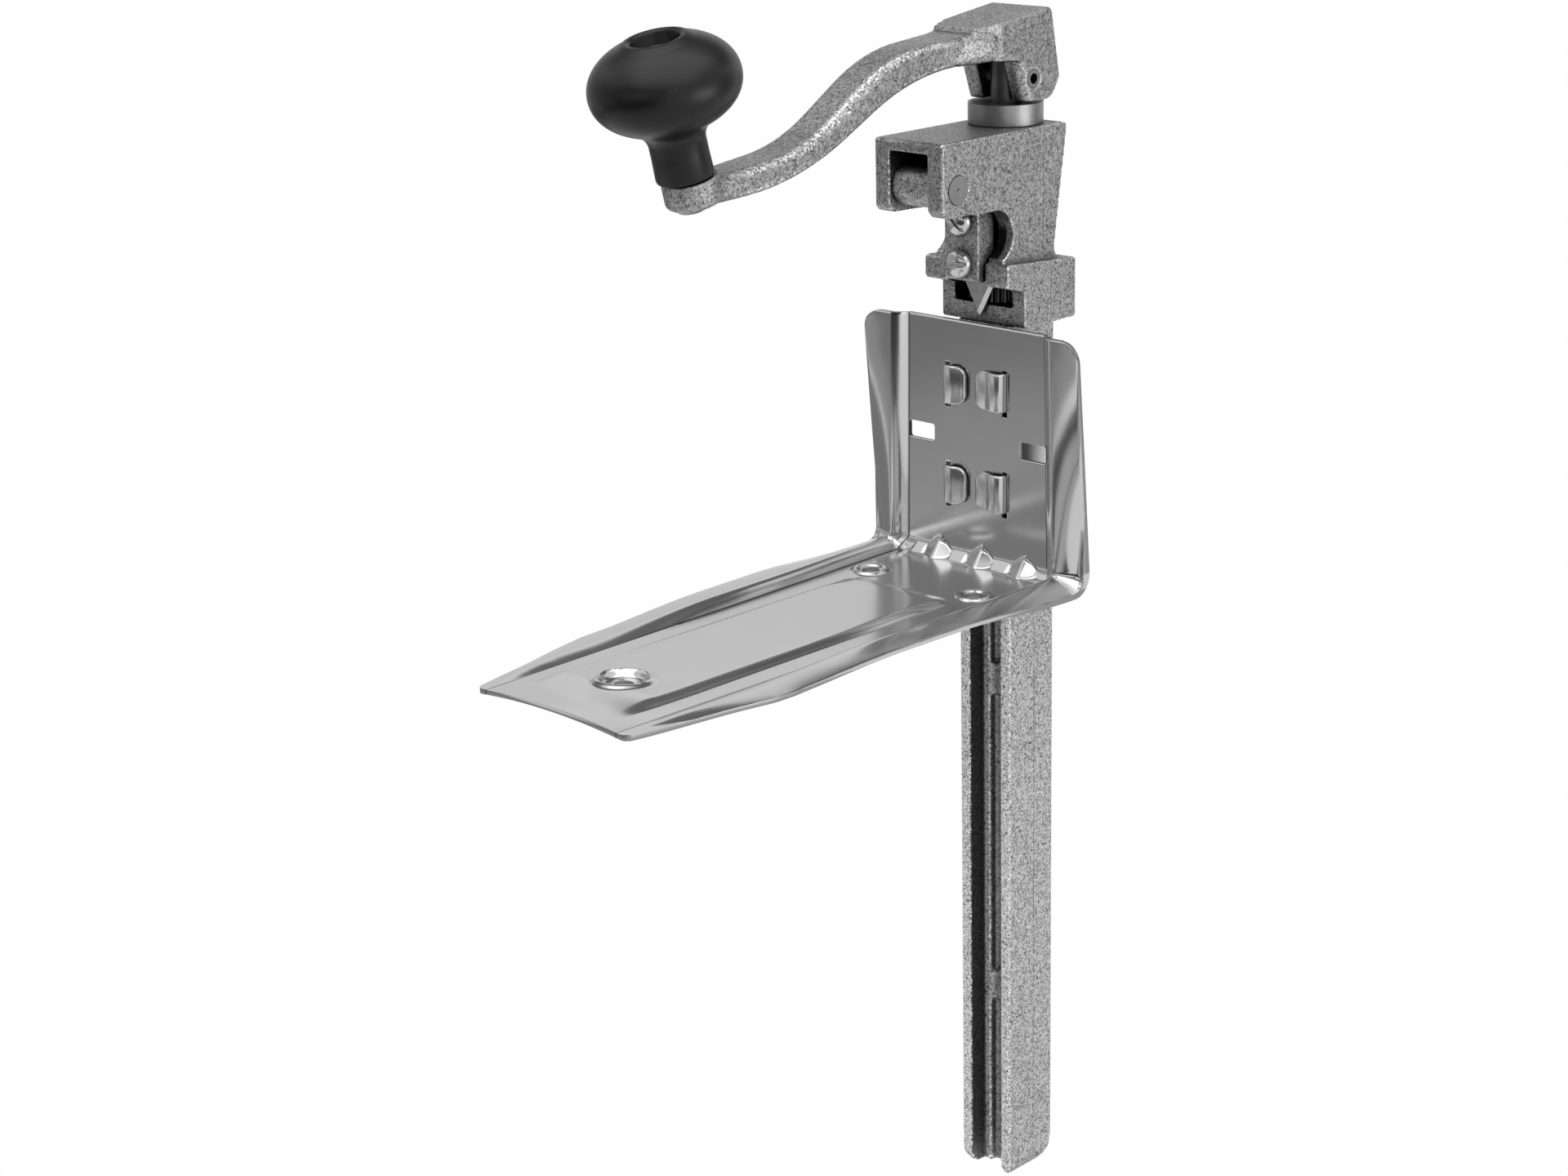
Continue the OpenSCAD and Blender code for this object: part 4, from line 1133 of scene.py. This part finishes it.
def clinched_tab(line, tall, corner, half):
    """A round-edged strip swept along a line of (X, Y) points, its far corners rounded."""
    straight_steps, sides, near = 26, 20, 0.15
    points = [Vector(point[:2]) for point in line]
    reached = [0.0]
    for first, second in zip(points, points[1:]):
        reached.append(reached[-1] + (second - first).length)
    full = reached[-1]
    start = full - corner
    marks = [k * start / straight_steps for k in range(straight_steps)]
    marks += [start + corner * math.sin(math.radians(a)) for a in range(0, 86, 7)]
    marks.append(full - 0.001)
    shape = bmesh.new()
    rings = []
    for mark in marks:
        x, y = line_point(points, reached, mark)
        ahead = line_point(points, reached, mark + near)
        behind = line_point(points, reached, mark - near)
        along = Vector((ahead[0] - behind[0], ahead[1] - behind[1])).normalized()
        over = max(0.0, mark - start)
        inset = corner - math.sqrt(corner**2 - over**2)
        left = min(half, full - mark)
        thick = math.sqrt(half**2 - (half - left) ** 2)
        ring = []
        for k in range(sides):
            angle = 2 * math.pi * (k + 0.5) / sides
            middle = tall - inset - thick if angle < math.pi else inset + thick
            off = thick * math.cos(angle)
            height = middle + thick * math.sin(angle)
            point = Vector((x - along.y * off, y + along.x * off, height)) * MM
            ring.append(shape.verts.new(point))
        rings.append(ring)
    for first, second in zip(rings, rings[1:]):
        bridge(shape, first, second)
    shape.faces.new(rings[0])
    shape.faces.new(rings[-1])
    return shape


def build_guide(nodes, steel, axis_y):
    """The folded guide behind the panel, and its four clinched tabs in front of it."""
    front = PANEL_FRONT + axis_y
    low, high = (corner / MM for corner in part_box("guide_channel"))
    behind = box_shape((low.x - 5, front + 0.02, low.z - 5), (high.x + 5, high.y + 5, high.z + 5))
    shape = combined(merged_copy(nodes["guide_channel"]), behind, "INTERSECT")
    bmesh.ops.dissolve_limit(shape, angle_limit=0.01, verts=shape.verts, edges=shape.edges)
    mesh = bevelled(shape, 0.25)
    by_angle(mesh)
    declare("folded_guide", mesh, steel, "bracket", ["guide_channel"])
    rows = copies_tree(steel)
    for side, reach in (("left", 10.2), ("right", 13.2)):
        sign = -1 if side == "left" else 1
        path = [(0.9, 1.2, 0), (0.9, -2.6, 2.1), (5.0, -2.45, 3), (7.6, -1.15, 3), (reach, -0.9, 0)]
        tab = clinched_tab(rounded(path), tall=13.6, corner=4.2, half=0.875)
        bmesh.ops.scale(tab, vec=(-sign, 1, 1), verts=tab.verts)
        bmesh.ops.translate(tab, vec=Vector((sign * high.x, front, 0)) * MM, verts=tab.verts)
        bmesh.ops.recalc_face_normals(tab, faces=tab.faces)
        values = {"Count": 2, "First": (0, 0, TAB_FIRST * MM), "Step": (0, 0, TAB_PITCH * MM)}
        mesh = run_tree(rows, values, tab)
        by_angle(mesh)
        name = side + "_clinched_tabs"
        declare(name, mesh, steel, "bracket", ["guide_channel"])


def build_knob(frame, plastic):
    """The moulded knob: a flattened ball on a waisted neck, with a recessed top."""
    seat, ball, tall, wide = 9.1, 30.0, 44.6, 23.75
    ball_tall, fullness, neck_curve = 29.8, 2.1, 6.4
    high = tall + 0.5 - ball
    low = ball_tall - high
    profile = [(4.05, 0), (7.9, 0), (8.9, 0.5), (9.1, 1.4), (8.95, 8)]
    for angle in np.linspace(8, 62, 10):
        share = math.radians(angle)
        radius = 8.9 + neck_curve * (1 - math.cos(share))
        profile.append((radius, ball - low - 4 + neck_curve * math.sin(share)))
    for share in np.linspace(0.2, 0.93, 44):
        z = ball - (low if share < 0.5 else high) * math.cos(math.pi * share)
        reach = abs(z - ball) / (low if z < ball else high)
        if z < tall - 0.9:
            profile.append((wide * (1 - reach**fullness) ** (1 / fullness), z))
    profile += [(10.2, tall - 0.25), (9.0, tall), (8.1, tall - 0.25), (7.6, tall - 1.1)]
    profile += [(7.0, tall - 4.9), (6.6, tall - 5.4), (4.05, tall - 5.4)]
    place = joint_place(frame, "knob_spin") @ Matrix.Translation((0, 0, seat * MM))
    mesh = as_mesh(revolved(profile, 128, place), "moulded_knob")
    by_angle(mesh, 50)
    declare("moulded_knob", mesh, plastic, "handle", ["knob"])


def build_knife(bright, leg_face):
    """The pointed blade with ground edges, and its two slotted screws."""
    low, high = (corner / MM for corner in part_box("knife_blade"))
    half = high.x
    point_tall, grind = 12.0, 1.15
    shoulder = low.z + point_tall
    front = [(0, low.z), (half, shoulder), (half, high.z), (-half, high.z), (-half, shoulder)]
    blade = outline_prism(front, low.y, high.y, upright=True)
    ground = []
    for edge in blade.edges:
        ends = [vertex.co / MM for vertex in edge.verts]
        flat = all(abs(end.y - low.y) < 0.01 for end in ends)
        sloped = min(end.z for end in ends) < low.z + 0.01 and abs(ends[0].x - ends[1].x) > 1
        if flat and sloped:
            ground.append(edge)
    bmesh.ops.bevel(blade, geom=ground, offset=grind * MM, segments=1, affect="EDGES")
    mesh = as_mesh(blade, "ground_blade")
    declare("ground_blade", mesh, bright, "knife", ["knife_blade"], smooth=False)
    place = Matrix.Rotation(math.radians(90), 4, "X")
    profile = [(0, 0.02), (4.5, 0.02), (4.85, 0.3), (4.9, 1.5), (4.6, 2.3), (3.9, 3.0), (2.8, 3.5)]
    profile += [(1.4, 3.82), (0, 3.9)]
    head = revolved(profile, 72, place)
    slot = box_shape((-6, -5, -0.55), (6, -2.5, 0.55))
    head = combined(head, slot, "DIFFERENCE")
    head = as_shape(bevelled(head, 0.14, 40))
    shank = revolved([(0, 0.1), (2.45, 0.1), (2.45, -10.6), (2.2, -10.9), (0, -10.9)], 32, place)
    screw = joined([head, shank])
    values = {
        "Count": 2,
        "First": (0, leg_face * MM, SCREW_LOW * MM),
        "Step": (0, 0, SCREW_PITCH * MM),
        "Turn": math.radians(-8),
        "Turn Step": math.radians(50),
    }
    mesh = run_tree(copies_tree(bright), values, screw)
    by_angle(mesh)
    declare("slotted_screws", mesh, bright, "knife", ["knife_screws"])


def build_gear(steel):
    """The feed gear under the blade."""
    low, high = (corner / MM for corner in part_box("feed_gear"))
    middle = (low + high) / 2
    thick = high.z - low.z
    sizes = {"Radius": high.x, "Depth": TOOTH_DEPTH, "Bore": GEAR_BORE, "Thickness": thick}
    values = {key: size * MM for key, size in sizes.items()}
    values["Teeth"] = GEAR_TEETH
    mesh = run_tree(gear_tree(steel), values)
    mesh.transform(Matrix.Translation(Vector((middle.x, middle.y, low.z)) * MM))
    by_angle(mesh)
    declare("toothed_feed_gear", mesh, steel, "crank", ["feed_gear"])


def coat_nodes(nodes, names, finish):
    """Gives solids that stay their finish."""
    for name in names:
        materials = nodes[name].data.materials
        materials.clear()
        materials.append(finish)


def main():
    """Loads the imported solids, dresses them and hands the scene over."""
    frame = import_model()
    nodes = frame["nodes"]
    bpy.context.scene.view_settings.view_transform = "Standard"
    set_camera()
    set_world(0.42)
    set_floor(0.985)
    set_lights()
    aluminium = new_finish("sand_cast_aluminium", sand_cast, Metallic=1.0)
    head = new_finish("head_aluminium", head_cast, Metallic=1.0)
    bar = new_finish("bar_aluminium", bar_cast, Metallic=1.0)
    handled = new_finish("handled_aluminium", handled_cast, Metallic=1.0)
    chrome = new_finish("chromed_sheet", chromed, Metallic=1.0)
    steel = new_finish("turned_steel", turned_steel, Metallic=1.0)
    # Painted shade: a darker copy of the turned steel for the shaft and the gear.
    shaded_steel = new_finish("shaded_turned_steel", dark_steel, Metallic=1.0)
    folded = new_finish("plated_guide", plated, Metallic=1.0)
    bright = new_finish("nickelled_steel", nickelled, Metallic=1.0)
    plastic = new_finish("black_plastic", moulded_plastic, **{"Specular IOR Level": 0.3})
    coat_nodes(nodes, ["upper_bush", "lower_bush", "knife_pivot_pin", "crank_pin", "knob_axle"], steel)
    coat_nodes(nodes, ["drive_shaft"], shaded_steel)
    coat_nodes(nodes, ["knob_clip"], plastic)
    build_castings(nodes, {"bar": bar, "head": head, "crank": handled, "holder": aluminium})
    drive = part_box("drive_shaft")
    axis_y = (drive[0].y + drive[1].y) / 2 / MM
    build_bracket(chrome, axis_y)
    build_guide(nodes, folded, axis_y)
    build_knob(frame, plastic)
    build_knife(bright, axis_y + LEG_FACE)
    build_gear(shaded_steel)


main()
